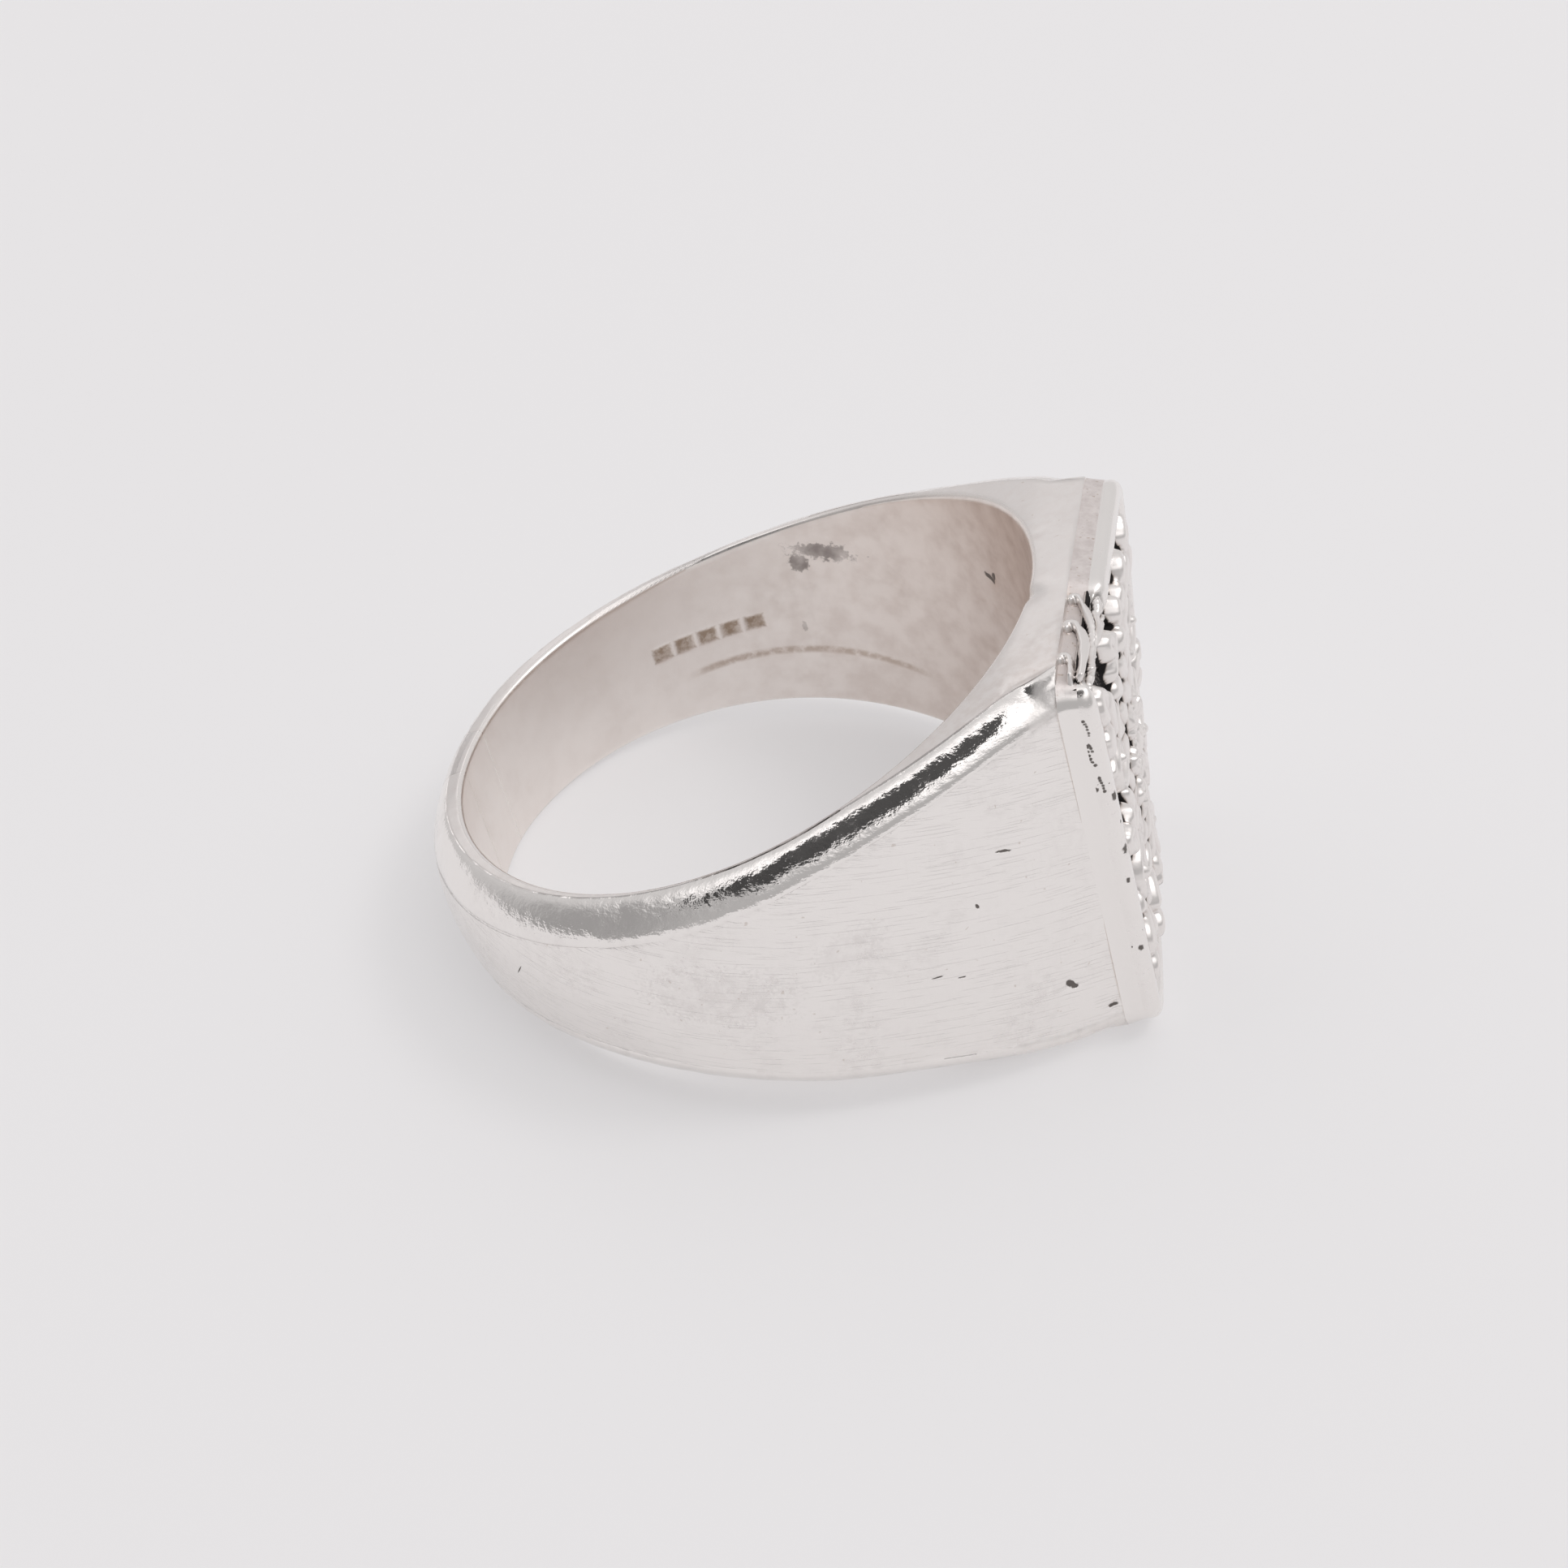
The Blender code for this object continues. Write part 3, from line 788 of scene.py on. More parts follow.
def foliage():
    """The carved field, set into the plate, with its leaves curling over the top edge.

    Gives the piece, and the points and faces of the sunk ground between its leaves.
    """
    half_width = PLATE_HALF_WIDTH - FIELD_MARGIN
    half_rise = PLATE_HALF_HEIGHT - FIELD_MARGIN
    columns = int(2 * half_width / FIELD_CELL)
    rows = int(2 * half_rise / FIELD_CELL)
    y, z = np.meshgrid(np.linspace(-1.0, 1.0, columns), np.linspace(-half_rise, half_rise, rows))
    into_corner = np.clip((np.abs(z) - half_rise + PLATE_CORNER_DOWN) / PLATE_CORNER_DOWN, 0.0, 1.0)
    y = y * (half_width - PLATE_CORNER_ACROSS * (1.0 - np.sqrt(1.0 - into_corner ** 2)))
    height = softened(carve_foliage(y * TO_MM, z * TO_MM), 1.5)
    hollow = np.clip((softened(height, 7) - height) / 0.16, 0.0, 1.0)
    hollow = np.maximum(hollow, np.clip((0.16 - height) / 0.14, 0.0, 1.0))
    high = np.clip((height - softened(height, 5)) / 0.08, 0.0, 1.0)
    border = border_nearness(y, z)
    height = np.maximum(np.minimum(height, LEAF_TOP - 0.2 * border), FIELD_GROUND)
    hidden = FIELD_HIDDEN + (height - FIELD_HIDDEN) * np.clip(1.0 - 3.0 * (border - 0.55), 0.0, 1.0)
    height = np.where(height < 0.40 + 0.35 * border, hidden, height)
    height = np.where(border > 0.97, FIELD_HIDDEN, height)
    front = on_face(PLATE_GROUND_X + height * MM, y, z).reshape(-1, 3)
    rim = rim_indices(rows, columns)
    flat_y, flat_z = y.reshape(-1)[rim], z.reshape(-1)[rim]
    back = on_face(np.full(len(rim), FIELD_BACK_X), flat_y, flat_z)
    centre = on_face(np.array([FIELD_BACK_X]), np.array([0.0]), np.array([0.0]))
    sunk = (height > 0.0) & (height < GRAIN_GROUND_TOP) & (border == 0.0)
    ground = [face for face in grid_faces(rows, columns) if sunk.flat[list(face)].all()]
    faces = grid_faces(rows, columns) + back_faces(rim, len(front))
    points = np.vstack([front, back, centre])
    padding = np.zeros(len(points) - len(front))
    curl_points, curl_faces, curl_hollow, curl_high = curled_leaves()
    faces += [tuple(len(points) + corner for corner in face) for face in curl_faces]
    points = np.vstack([points, curl_points])
    attributes = {
        "hollow": np.concatenate([hollow.ravel(), padding, curl_hollow]),
        "high": np.concatenate([high.ravel(), padding, curl_high]),
    }
    return piece_from("foliage", laid(points), faces, attributes, sharp=False), front, ground


# The leaves that curl over the top edge are carved in a field of their own, which runs from
# the head's edge over the top and down the face. Its lengths are in mm.
CURL_CELL = 0.030
CURL_BACK_X = 10.98
CURL_TOP_Z = 6.40
CURL_FRONT_X = 11.88
CURL_TURN = 0.27                # radius of the turn from the top to the face
CURL_DOWN = 0.50                # how far the field runs down the face
CURL_FAR_Y = -0.70
CURL_NEAR_Y = -5.80


def curl_route(lengths):
    """Place (x, z) and outward direction of the field, at lengths from the head's edge."""
    level = CURL_FRONT_X - CURL_TURN - CURL_BACK_X
    turn = np.clip((lengths - level) / CURL_TURN, 0.0, math.pi / 2.0)
    past = np.clip(lengths - level - CURL_TURN * math.pi / 2.0, 0.0, None)
    x = CURL_BACK_X + np.minimum(lengths, level) + CURL_TURN * np.sin(turn)
    z = CURL_TOP_Z - CURL_TURN * (1.0 - np.cos(turn)) - past
    return x, z, np.sin(turn), np.cos(turn)


def carve_curls(y, along):
    """Three curled tips near the head, with long blades that sweep from them to the face."""
    carving = Carving(y, along, 0.06)
    for tip, sweep, end, width in (
        ((-0.95, 1.50), (-1.9, 1.25), (-4.2, 1.45), 0.24),
        ((-2.30, 1.75), (-3.2, 1.45), (-5.5, 1.55), 0.24),
        ((-1.15, 0.85), (-2.0, 0.95), (-3.7, 1.15), 0.17),
        ((-3.35, 0.85), (-4.1, 1.05), (-5.6, 1.20), 0.17),
    ):
        carving.leaf(bend([end, sweep, tip]), width, 2, 0.02, 0.30)
    for centre, hook, sweep, end, width in (
        ((-1.45, 0.32), 0.17, (-2.3, 0.86), (-4.7, 0.98), 0.13),
        ((-2.90, 0.31), 0.23, (-3.6, 0.84), (-5.4, 0.76), 0.16),
        ((-4.55, 0.27), 0.20, (-5.1, 0.60), (-5.9, 0.50), 0.14),
    ):
        curl = spiral(centre, hook, 0.10, math.pi / 2.0, -0.58, 40)[::-1]
        carving.boss(centre, hook, 0.10, 0.14)
        carving.stem(np.vstack([curl, bend([curl[-1], sweep, end])[1:]]), width, 0.08, 0.26)
    return carving.height


def curled_leaves():
    """Points, faces, hollow and high values of the field over the top edge."""
    lengths = np.arange(0.0, curl_length(), CURL_CELL)
    across = np.arange(CURL_NEAR_Y, CURL_FAR_Y, CURL_CELL)
    along, y = np.meshgrid(lengths, across)
    height = softened(carve_curls(y, along), 1)
    hollow = np.clip((softened(height, 6) - height) / 0.12, 0.0, 1.0)
    hollow = np.maximum(hollow, np.clip((0.06 - height) / 0.14, 0.0, 0.22))
    high = np.clip((height - softened(height, 4)) / 0.06, 0.0, 1.0)
    edge = np.minimum(smoothly(y, CURL_NEAR_Y + 0.05, CURL_NEAR_Y + 0.35),
                      smoothly(-y, -CURL_FAR_Y + 0.05, -CURL_FAR_Y + 0.30))
    edge = edge * smoothly(along, 0.0, 0.06) * smoothly(-along, -curl_length(), 0.3 - curl_length())
    height = height * edge - 0.10 * (1.0 - edge)
    x, z, out_x, out_z = curl_route(along)
    front = np.stack([x + out_x * height, y, z + out_z * height], axis=-1)
    front[..., 2] = np.minimum(front[..., 2], leaf_limit(front[..., 0]))
    front = front.reshape(-1, 3)
    rim = rim_indices(len(across), len(lengths))
    back = front[rim] - np.array([0.12, 0.0, 0.12])
    centre = front.mean(axis=0) - np.array([0.45, 0.0, 0.45])
    points = np.vstack([front, back, centre]) * MM
    faces = grid_faces(len(across), len(lengths)) + back_faces(rim, len(front))
    padding = np.zeros(len(points) - len(front))
    return points, faces, np.append(hollow, padding), np.append(high, padding)


def curl_length():
    """Length of the field from the head's edge, over the top and down the face, in mm."""
    return CURL_FRONT_X - CURL_TURN - CURL_BACK_X + CURL_TURN * math.pi / 2.0 + CURL_DOWN


def leaf_limit(x):
    """Most height of a leaf at x, in mm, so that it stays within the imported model's box."""
    top = (cad_box[1].z - REST_HEIGHT) * TO_MM
    return (top - x * math.sin(TILT)) / math.cos(TILT) - 0.01


def grid_faces(rows, columns):
    """Faces of an open grid."""
    faces = []
    for row in range(rows - 1):
        for column in range(columns - 1):
            start = row * columns + column
            faces.append((start, start + 1, start + columns + 1, start + columns))
    return faces


def back_faces(rim, first):
    """A wall from the rim of a grid back to a matching loop of points, and a fan over it."""
    faces = []
    for index in range(len(rim)):
        following = (index + 1) % len(rim)
        faces.append((rim[following], rim[index], first + index, first + following))
        faces.append((first + following, first + index, first + len(rim)))
    return faces


def border_nearness(y, z):
    """0 inside the plate's ground, rising to 1 at the outer edge of its border."""
    out_y = (np.abs(y) - (PLATE_HALF_WIDTH - BORDER_WIDTH)) / BORDER_WIDTH
    out_z = (np.abs(z) - (PLATE_HALF_HEIGHT - BORDER_WIDTH)) / BORDER_WIDTH
    return np.clip(np.maximum(out_y, out_z), 0.0, 1.0)


def rim_indices(rows, columns):
    """Indices of the outermost points of a grid, in order round it."""
    bottom = list(range(columns))
    right = [row * columns + columns - 1 for row in range(1, rows)]
    top = [(rows - 1) * columns + column for column in range(columns - 2, -1, -1)]
    left = [row * columns for row in range(rows - 2, 0, -1)]
    return bottom + right + top + left


# ---------------------------------------------------------------- matting grains

GRAIN_RADIUS = 0.050 * MM
GRAIN_SPACING = 0.155 * MM
GRAIN_SEED = 7
GRAIN_GROUND_TOP = 0.08         # grains lie only where the field is lower than this, in mm


def grain_tree():
    """A node tree that strews small round grains over a surface."""
    tree = bpy.data.node_groups.new("matting_grains", "GeometryNodeTree")
    for name, kind in (("Ground", "NodeSocketGeometry"), ("Grain Radius", "NodeSocketFloat"),
                       ("Grain Spacing", "NodeSocketFloat"), ("Seed", "NodeSocketInt"),
                       ("Finish", "NodeSocketMaterial")):
        tree.interface.new_socket(name, in_out="INPUT", socket_type=kind)
    tree.interface.new_socket("Grains", in_out="OUTPUT", socket_type="NodeSocketGeometry")
    build = Finish(tree)
    entry = build.node("NodeGroupInput")
    given = {output.name: Field(build, output) for output in entry.outputs if output.name}
    points = build.field(
        "GeometryNodeDistributePointsOnFaces", {"distribute_method": "POISSON"},
        {"Mesh": given["Ground"], "Distance Min": given["Grain Spacing"], "Density Max": 1e9,
         "Seed": given["Seed"]}, "Points")
    grain = build.field("GeometryNodeMeshIcoSphere", None,
                        {"Radius": given["Grain Radius"], "Subdivisions": 1}, "Mesh")
    least, most, seed, value = 2, 3, 8, 1      # sockets of Random Value that hold plain numbers
    sizes = build.field("FunctionNodeRandomValue", {"data_type": "FLOAT"},
                        {least: 0.7, most: 1.2, seed: given["Seed"]}, value)
    strewn = build.field("GeometryNodeInstanceOnPoints", None,
                         {"Points": points, "Instance": grain, "Scale": sizes}, "Instances")
    solid = build.field("GeometryNodeRealizeInstances", None, {"Geometry": strewn}, "Geometry")
    smooth = build.field("GeometryNodeSetShadeSmooth", None, {"Geometry": solid}, "Geometry")
    dressed = build.field("GeometryNodeSetMaterial", None,
                          {"Geometry": smooth, "Material": given["Finish"]}, "Geometry")
    build.node("NodeGroupOutput", None, {"Grains": dressed})
    return tree


def matting_grains(points, faces, finish):
    """The stippled matting of the sunk ground, as one plain mesh."""
    patch = bpy.data.meshes.new("ground_patch")
    patch.from_pydata(laid(points).tolist(), [], faces)
    carrier = bpy.data.objects.new("ground_patch", patch)
    bpy.context.scene.collection.objects.link(carrier)
    strewing = carrier.modifiers.new("matting", "NODES")
    strewing.node_group = grain_tree()
    values = {"Grain Radius": GRAIN_RADIUS, "Grain Spacing": GRAIN_SPACING,
              "Seed": GRAIN_SEED, "Finish": finish}
    for socket in strewing.node_group.interface.items_tree:
        if socket.in_out == "INPUT" and socket.name in values:
            strewing[socket.identifier] = values[socket.name]
    graph = bpy.context.evaluated_depsgraph_get()
    mesh = bpy.data.meshes.new_from_object(carrier.evaluated_get(graph))
    mesh.name = "matting_grains"
    bpy.data.objects.remove(carrier)
    bpy.data.meshes.remove(patch)
    piece = bpy.data.objects.new("matting_grains", mesh)
    bpy.context.scene.collection.objects.link(piece)
    return piece


# ---------------------------------------------------------------- finishes

class Field:
    """A value that varies over a surface. Python's operators add Math nodes."""

    def __init__(self, finish, socket):
        self.finish = finish
        self.socket = socket

    def _math(self, operation, first, second=0.0):
        node = self.finish.node("ShaderNodeMath", {"operation": operation},
                                {0: first, 1: second})
        return Field(self.finish, node.outputs[0])

    def __add__(self, other):
        return self._math("ADD", self, other)

    __radd__ = __add__

    def __sub__(self, other):
        return self._math("SUBTRACT", self, other)

    def __rsub__(self, other):
        return self._math("SUBTRACT", other, self)

    def __mul__(self, other):
        return self._math("MULTIPLY", self, other)

    __rmul__ = __mul__

    def __truediv__(self, other):
        return self._math("DIVIDE", self, other)

    def larger(self, other):
        return self._math("MAXIMUM", self, other)

    def size(self):
        return self._math("ABSOLUTE", self)

    def wave(self):
        return self._math("SINE", self)

    def step(self, low, high):
        """0 below low and 1 above high, smooth between."""
        node = self.finish.node(
            "ShaderNodeMapRange", {"interpolation_type": "SMOOTHSTEP"},
            {"Value": self, "From Min": low, "From Max": high})
        return Field(self.finish, node.outputs["Result"])


class Finish:
    """A node tree under construction: a silver finish, the floor's, or the studio's."""

    def __init__(self, tree):
        self.tree = tree
        tree.nodes.clear()

    def node(self, kind, settings=None, sockets=None):
        """Make any node: its type, its settings, then the values or links of its sockets."""
        made = self.tree.nodes.new(kind)
        for key, value in (settings or {}).items():
            setattr(made, key, value)
        for key, value in (sockets or {}).items():
            if isinstance(value, Field):
                self.tree.links.new(value.socket, made.inputs[key])
            elif value is not None:
                made.inputs[key].default_value = value
        return made

    def field(self, kind, settings=None, sockets=None, output=0):
        """Make a node and give one of its outputs as a Field."""
        return Field(self, self.node(kind, settings, sockets).outputs[output])

    def place(self):
        """Place on the object, in mm."""
        at = self.field("ShaderNodeTexCoord", output="Object")
        return self.field("ShaderNodeVectorMath", {"operation": "SCALE"},
                          {0: at, "Scale": TO_MM})

    def wrap(self):
        """Place along and up the band, in mm."""
        return self.field("ShaderNodeUVMap", {"uv_map": "wrap"})

    def attribute(self, name):
        return self.field("ShaderNodeAttribute", {"attribute_name": name}, output="Fac")

    def moved(self, vector, location=(0, 0, 0), rotation=(0, 0, 0), scale=(1, 1, 1)):
        return self.field("ShaderNodeMapping", {"vector_type": "POINT"},
                          {"Vector": vector, "Location": location,
                           "Rotation": rotation, "Scale": scale})

    def noise(self, vector, scale, detail=2.0, roughness=0.5, distortion=0.0):
        """Random clouds from 0 to 1."""
        return self.field("ShaderNodeTexNoise", {"noise_dimensions": "3D"},
                          {"Vector": vector, "Scale": scale, "Detail": detail,
                           "Roughness": roughness, "Distortion": distortion})

    def blend(self, amount, first, second):
        """First where amount is 0, second where it is 1. Takes colours or Fields of colour."""
        factor, from_colour, to_colour, result = 0, 6, 7, 2     # sockets of Mix that hold colours
        return self.field("ShaderNodeMix", {"data_type": "RGBA"},
                          {factor: amount, from_colour: first, to_colour: second}, result)

    def parts(self, vector):
        node = self.node("ShaderNodeSeparateXYZ", None, {0: vector})
        return [Field(self, output) for output in node.outputs]

    def bump(self, height):
        """A normal from a height in mm."""
        return self.field("ShaderNodeBump", None,
                          {"Strength": 1.0, "Distance": MM, "Height": height}, "Normal")

    def metal(self, colour, roughness, normal):
        """Silver."""
        sockets = {"Base Color": colour, "Metallic": 1.0, "Roughness": roughness,
                   "Normal": normal}
        surface = self.field("ShaderNodeBsdfPrincipled", None, sockets, "BSDF")
        self.node("ShaderNodeOutputMaterial", None, {"Surface": surface})


def new_finish(name):
    made = bpy.data.materials.new(name)
    made.use_nodes = True
    return made, Finish(made.node_tree)


SILVER = (0.915, 0.885, 0.862, 1.0)
SILVER_SMUDGED = (0.80, 0.765, 0.745, 1.0)
DULL_FLAT = (0.70, 0.665, 0.65, 1.0)
SILVER_WARM = (0.86, 0.80, 0.77, 1.0)
# Tarnish brown, also laid as painted shade along the bore's step and on the near side's flats towards
# the head
TARNISH_AND_SHADE = (0.50, 0.40, 0.33, 1.0)
GRIME = (0.10, 0.085, 0.075, 1.0)
OXIDE = (0.035, 0.032, 0.032, 1.0)
BORE_WARM = (0.93, 0.845, 0.79, 1.0)
BORE_BROWN = (0.52, 0.41, 0.355, 1.0)
SMOKE = (0.25, 0.22, 0.21, 1.0)
PUNCH_BROWN = (0.36, 0.26, 0.18, 1.0)
SOLDER_DARK = (0.72, 0.66, 0.64, 1.0)
SOLDER_LIGHT = (0.84, 0.79, 0.77, 1.0)
LEAF_SILVER = (0.84, 0.80, 0.78, 1.0)

# Dark marks on the outside of the wall: place in the ring's frame, half length and half width
# of the mark, in mm, and its turn in degrees
WALL_MARKS = (
    ((9.86, -7.16, -3.59), 0.22, 0.10, 55.0),
    ((9.98, -7.05, -3.72), 0.12, 0.09, 10.0),
    ((10.80, -6.32, -5.20), 0.20, 0.07, 20.0),
    ((8.02, -8.44, 0.78), 0.10, 0.05, 70.0),
    ((8.97, -7.83, 2.24), 0.24, 0.045, 20.0),
    ((6.45, -9.27, -1.12), 0.18, 0.028, 5.0),
    ((7.10, -8.90, -1.45), 0.14, 0.030, 12.0),
    ((-6.40, -9.16, 0.36), 0.24, 0.022, -50.0),
)


# Stretch of the far rim that still shows its filing, in mm along the band: soft start and end
FILED_START = (-24.0, -23.6)
FILED_END = (-19.4, -19.2)

# The edges are duller towards the head's corners, from here on, in mm ahead of the middle
CORNER_WEAR_AHEAD = (7.55, 7.95)
CORNER_ROUGHNESS = 0.34


def wall_place(point):
    """Where a point of the outer wall lies on the wrap, in mm."""
    plan = np.array(cast_plan())
    run = run_along(plan)
    nearest = np.linalg.norm(plan - np.array(point[:2]) * MM, axis=1).argmin()
    return run[nearest] * TO_MM, point[2]


def mark(finish, wrap, along, up, half_length, half_width, turn, ragged):
    """1 inside an oval mark on the wrap, 0 outside, with a ragged edge."""
    angle = math.radians(turn)
    centred = finish.moved(wrap, location=(-along, -up, 0.0))
    level = finish.moved(centred, rotation=(0.0, 0.0, -angle))
    scaled = finish.moved(level, scale=(1.0 / half_length, 1.0 / half_width, 1.0))
    reach = finish.field("ShaderNodeVectorMath", {"operation": "LENGTH"}, {0: scaled}, "Value")
    return 1.0 - (reach + ragged).step(0.75, 1.1)


def hair_lines(finish, vector, turn, length, width, amount):
    """Fine straight scratches in one direction: 1 on a scratch, 0 between."""
    level = finish.moved(vector, rotation=(0.0, 0.0, math.radians(turn)))
    drawn = finish.moved(level, scale=(1.0 / length, 1.0 / width, 1.0))
    return finish.noise(drawn, 1.0, 1.0, 0.4).step(amount, amount + 0.12)


def band_silver():
    """Polished, worn silver: scratched outside, tarnished and struck with blank punches inside."""
    made, finish = new_finish("worn_silver_fine")
    place, wrap = finish.place(), finish.wrap()
    bore, flat = finish.attribute("bore"), finish.attribute("flat")
    wall, edge = finish.attribute("wall"), finish.attribute("edge")
    clouds = finish.noise(place, 0.55, 4.0, 0.55)
    mottle = finish.noise(place, 3.0, 5.0, 0.6)
    fine = finish.noise(place, 16.0, 3.0, 0.6)
    ragged = (finish.noise(place, 9.0, 2.0) - 0.5) * 1.2
    along, up, _ = finish.parts(wrap)
    ahead, across, _ = finish.parts(place)
    near_head = ahead.step(2.5, 9.0)
    towards_head = ahead.step(-5.0, 8.5)
    near_side = (across * -1.0).step(1.0, 6.0)

    smudge = clouds.step(0.44, 0.66) * mottle.step(0.35, 0.72)
    lines = hair_lines(finish, wrap, -14.0, 2.2, 0.035, 0.60) * wall
    lines = lines.larger(hair_lines(finish, wrap, -26.0, 1.1, 0.028, 0.62) * wall * clouds)
    upright = hair_lines(finish, wrap, 84.0, 1.6, 0.06, 0.62) * wall
    specks = finish.noise(place, 5.0, 1.0, 0.3).step(0.76, 0.80)

    marks = None
    for point, half_length, half_width, turn in WALL_MARKS:
        at, height = wall_place(point)
        one = mark(finish, wrap, at, height, half_length, half_width, turn, ragged * 0.9)
        marks = one if marks is None else marks.larger(one)
    marks = marks * wall
    veil = mark(finish, wrap, *wall_place((0.34, -11.13, 0.3)), 2.3, 1.1, 12.0, ragged * 1.6)
    veil = veil.larger(mark(finish, wrap, *wall_place((4.4, -10.3, 0.9)), 1.3, 0.7, -20.0,
                            ragged * 1.6) * 0.7) * wall * mottle.step(0.25, 0.7)

    cell = (along - PUNCH_START) / PUNCH_PITCH
    off_row = (cell - PUNCH_COUNT / 2.0).size().step(PUNCH_COUNT / 2.0 - 0.05, PUNCH_COUNT / 2.0)
    local = finish.field("ShaderNodeMath", {"operation": "FRACT"}, {0: cell}) - 0.5
    reach = (local.size() / PUNCH_HALF_LENGTH).larger((up - PUNCH_UP).size() / PUNCH_HALF_HEIGHT)
    punch = (1.0 - (reach + ragged * 0.30).step(0.62, 1.25)) * (1.0 - off_row)
    punch = punch * bore * (0.5 + 0.5 * mottle.step(0.3, 0.6))

    inside_smudge = mark(finish, wrap, -14.6, 2.50, 1.25, 0.36, -10.0, (mottle - 0.5) * 2.6)
    inside_smudge = inside_smudge.larger(mark(finish, wrap, -15.5, 2.15, 0.35, 0.40, 0.0, ragged))
    inside_smudge = inside_smudge.larger(mark(finish, wrap, -15.9, -0.45, 0.10, 0.22, 0.0, ragged) * 0.5)
    inside_smudge = inside_smudge * bore
    pit = mark(finish, wrap, -7.55, 2.52, 0.27, 0.11, -35.0, ragged * 0.5)
    pit = pit.larger(mark(finish, wrap, -7.28, 2.66, 0.22, 0.10, 62.0, ragged * 0.5)) * bore
    off_step = (up - step_line(along)).size()
    # Painted shadow along the step in the bore, laid in the tarnish colour below
    step_shade = (1.0 - off_step.step(0.03, 0.20)) * mottle.step(0.25, 0.6) * bore
    step_shade = step_shade * (1.0 - (along - STEP_MIDDLE_ALONG).size().step(3.4, 4.6))

    blotches = finish.noise(place, 1.3, 3.0, 0.5)
    stained = blotches.step(0.30, 0.80) * (0.25 + 0.75 * ahead.step(-7.0, 0.0))
    tarnish = bore * (0.34 * stained + 0.30 * towards_head + 0.62 * near_head)
    tarnish = tarnish * (0.75 + 0.4 * mottle)
    # The flats are duller and warmer all over; the extra darkening on the near side towards the head is
    # painted shade
    dull_and_shade = flat * (0.30 + 0.45 * mottle.step(0.35, 0.7) + 0.45 * near_head * near_side)
    base = finish.blend(smudge * 0.5 * (wall + edge), SILVER, SILVER_SMUDGED)
    base = finish.blend(veil * 0.75, base, SILVER_SMUDGED)
    base = finish.blend(dull_and_shade, base, SILVER_WARM)
    # Painted shade, mottled in the tarnish colour, on the near side's flats towards the head
    base = finish.blend(flat * near_head * near_side * mottle.step(0.34, 0.66) * 0.36, base, TARNISH_AND_SHADE)
    base = finish.blend(flat * 0.48, base, DULL_FLAT)
    base = finish.blend(bore * (0.35 + 0.55 * towards_head), base, BORE_WARM)
    base = finish.blend(tarnish * 0.80, base, BORE_BROWN)
    base = finish.blend(lines * 0.30, base, SILVER_SMUDGED)
    base = finish.blend(upright * 0.14, base, SILVER_SMUDGED)
    base = finish.blend(specks * 0.35 * (wall + flat), base, TARNISH_AND_SHADE)
    base = finish.blend(inside_smudge * (0.40 + 0.5 * blotches.step(0.3, 0.7)), base, SMOKE)
    base = finish.blend(punch * 0.85, base, PUNCH_BROWN)
    # Painted shadow of the step
    base = finish.blend(step_shade * 0.7, base, TARNISH_AND_SHADE)
    base = finish.blend(marks.larger(pit) * 0.90, base, GRIME)

    rough = 0.13 + 0.13 * smudge + 0.10 * lines + 0.06 * clouds - 0.08 * edge
    rough = rough + flat * 0.15 + bore * 0.20 + marks * 0.3 + punch * 0.2 + veil * 0.12
    rough = rough + ahead.step(*CORNER_WEAR_AHEAD) * edge * CORNER_ROUGHNESS

    height = lines * -0.0030 + upright * -0.0012 + fine * 0.0014 * (flat + bore * 1.3)
    height = height + mottle * 0.005 * (flat + bore + wall * 0.8)
    height = height + finish.noise(place, 1.6, 4.0, 0.62) * 0.042 * edge
    drawn = finish.moved(wrap, scale=(1.6, 7.0, 1.0))
    height = height + finish.noise(drawn, 1.0, 3.0, 0.6) * 0.010 * edge
    height = height - marks * 0.035 - pit * 0.05 - punch * 0.018 * (0.5 + fine)
    ribs = (along * 33.0 + finish.noise(place, 2.0) * 5.0).wave()
    filed = along.step(*FILED_START) * (1.0 - along.step(*FILED_END)) * up.step(1.0, 1.4)
    height = height + ribs * filed * 0.004 * (1.0 - bore)
    finish.metal(base, rough, finish.bump(height))
    return made


# Dark pits on the near side of the plate: place in the ring's frame and radius, in mm
PLATE_PITS = (
    ((11.66, -6.10, 2.91), 0.10),
    ((12.10, -5.85, 2.49), 0.16),
    ((12.10, -5.87, 0.50), 0.15),
    ((12.02, -6.00, -0.60), 0.09),
    ((11.98, -6.02, -3.20), 0.10),
)


# Chased lines on the same side, round the ends of leaves: bent lines in x and z, in mm
PLATE_LINES = (
    ((11.71, 5.38), (11.84, 5.15), (11.79, 4.86)),
    ((11.80, 4.30), (11.77, 4.64), (11.68, 4.46)),
    ((11.68, 4.46), (11.63, 4.05), (11.80, 3.80)),
    ((11.83, 3.32), (11.88, 3.10), (11.90, 2.82)),
)
LINE_STEPS = 6
LINE_RADIUS = 0.065
LINE_BASE_X = 11.77             # at this x the plate's near side lies at LINE_BASE_Y
LINE_BASE_Y = -6.08
LINE_SLOPE = 0.2


def line_places():
    """Places along the chased lines, on the slope of the plate's near side."""
    for line in PLATE_LINES:
        for x, z in bend(line, LINE_STEPS):
            yield (x, LINE_BASE_Y + LINE_SLOPE * (x - LINE_BASE_X), z), LINE_RADIUS


def pitted(finish, place, ragged):
    """1 in each pit of the plate, 0 outside."""
    found = None
    for point, radius in itertools.chain(PLATE_PITS, line_places()):
        centre = laid(np.array(point) * MM) * TO_MM
        off = finish.field("ShaderNodeVectorMath", {"operation": "DISTANCE"},
                           {0: place, 1: tuple(centre)}, "Value")
        one = 1.0 - (off / radius + ragged).step(0.6, 1.1)
        found = one if found is None else found.larger(one)
    return found


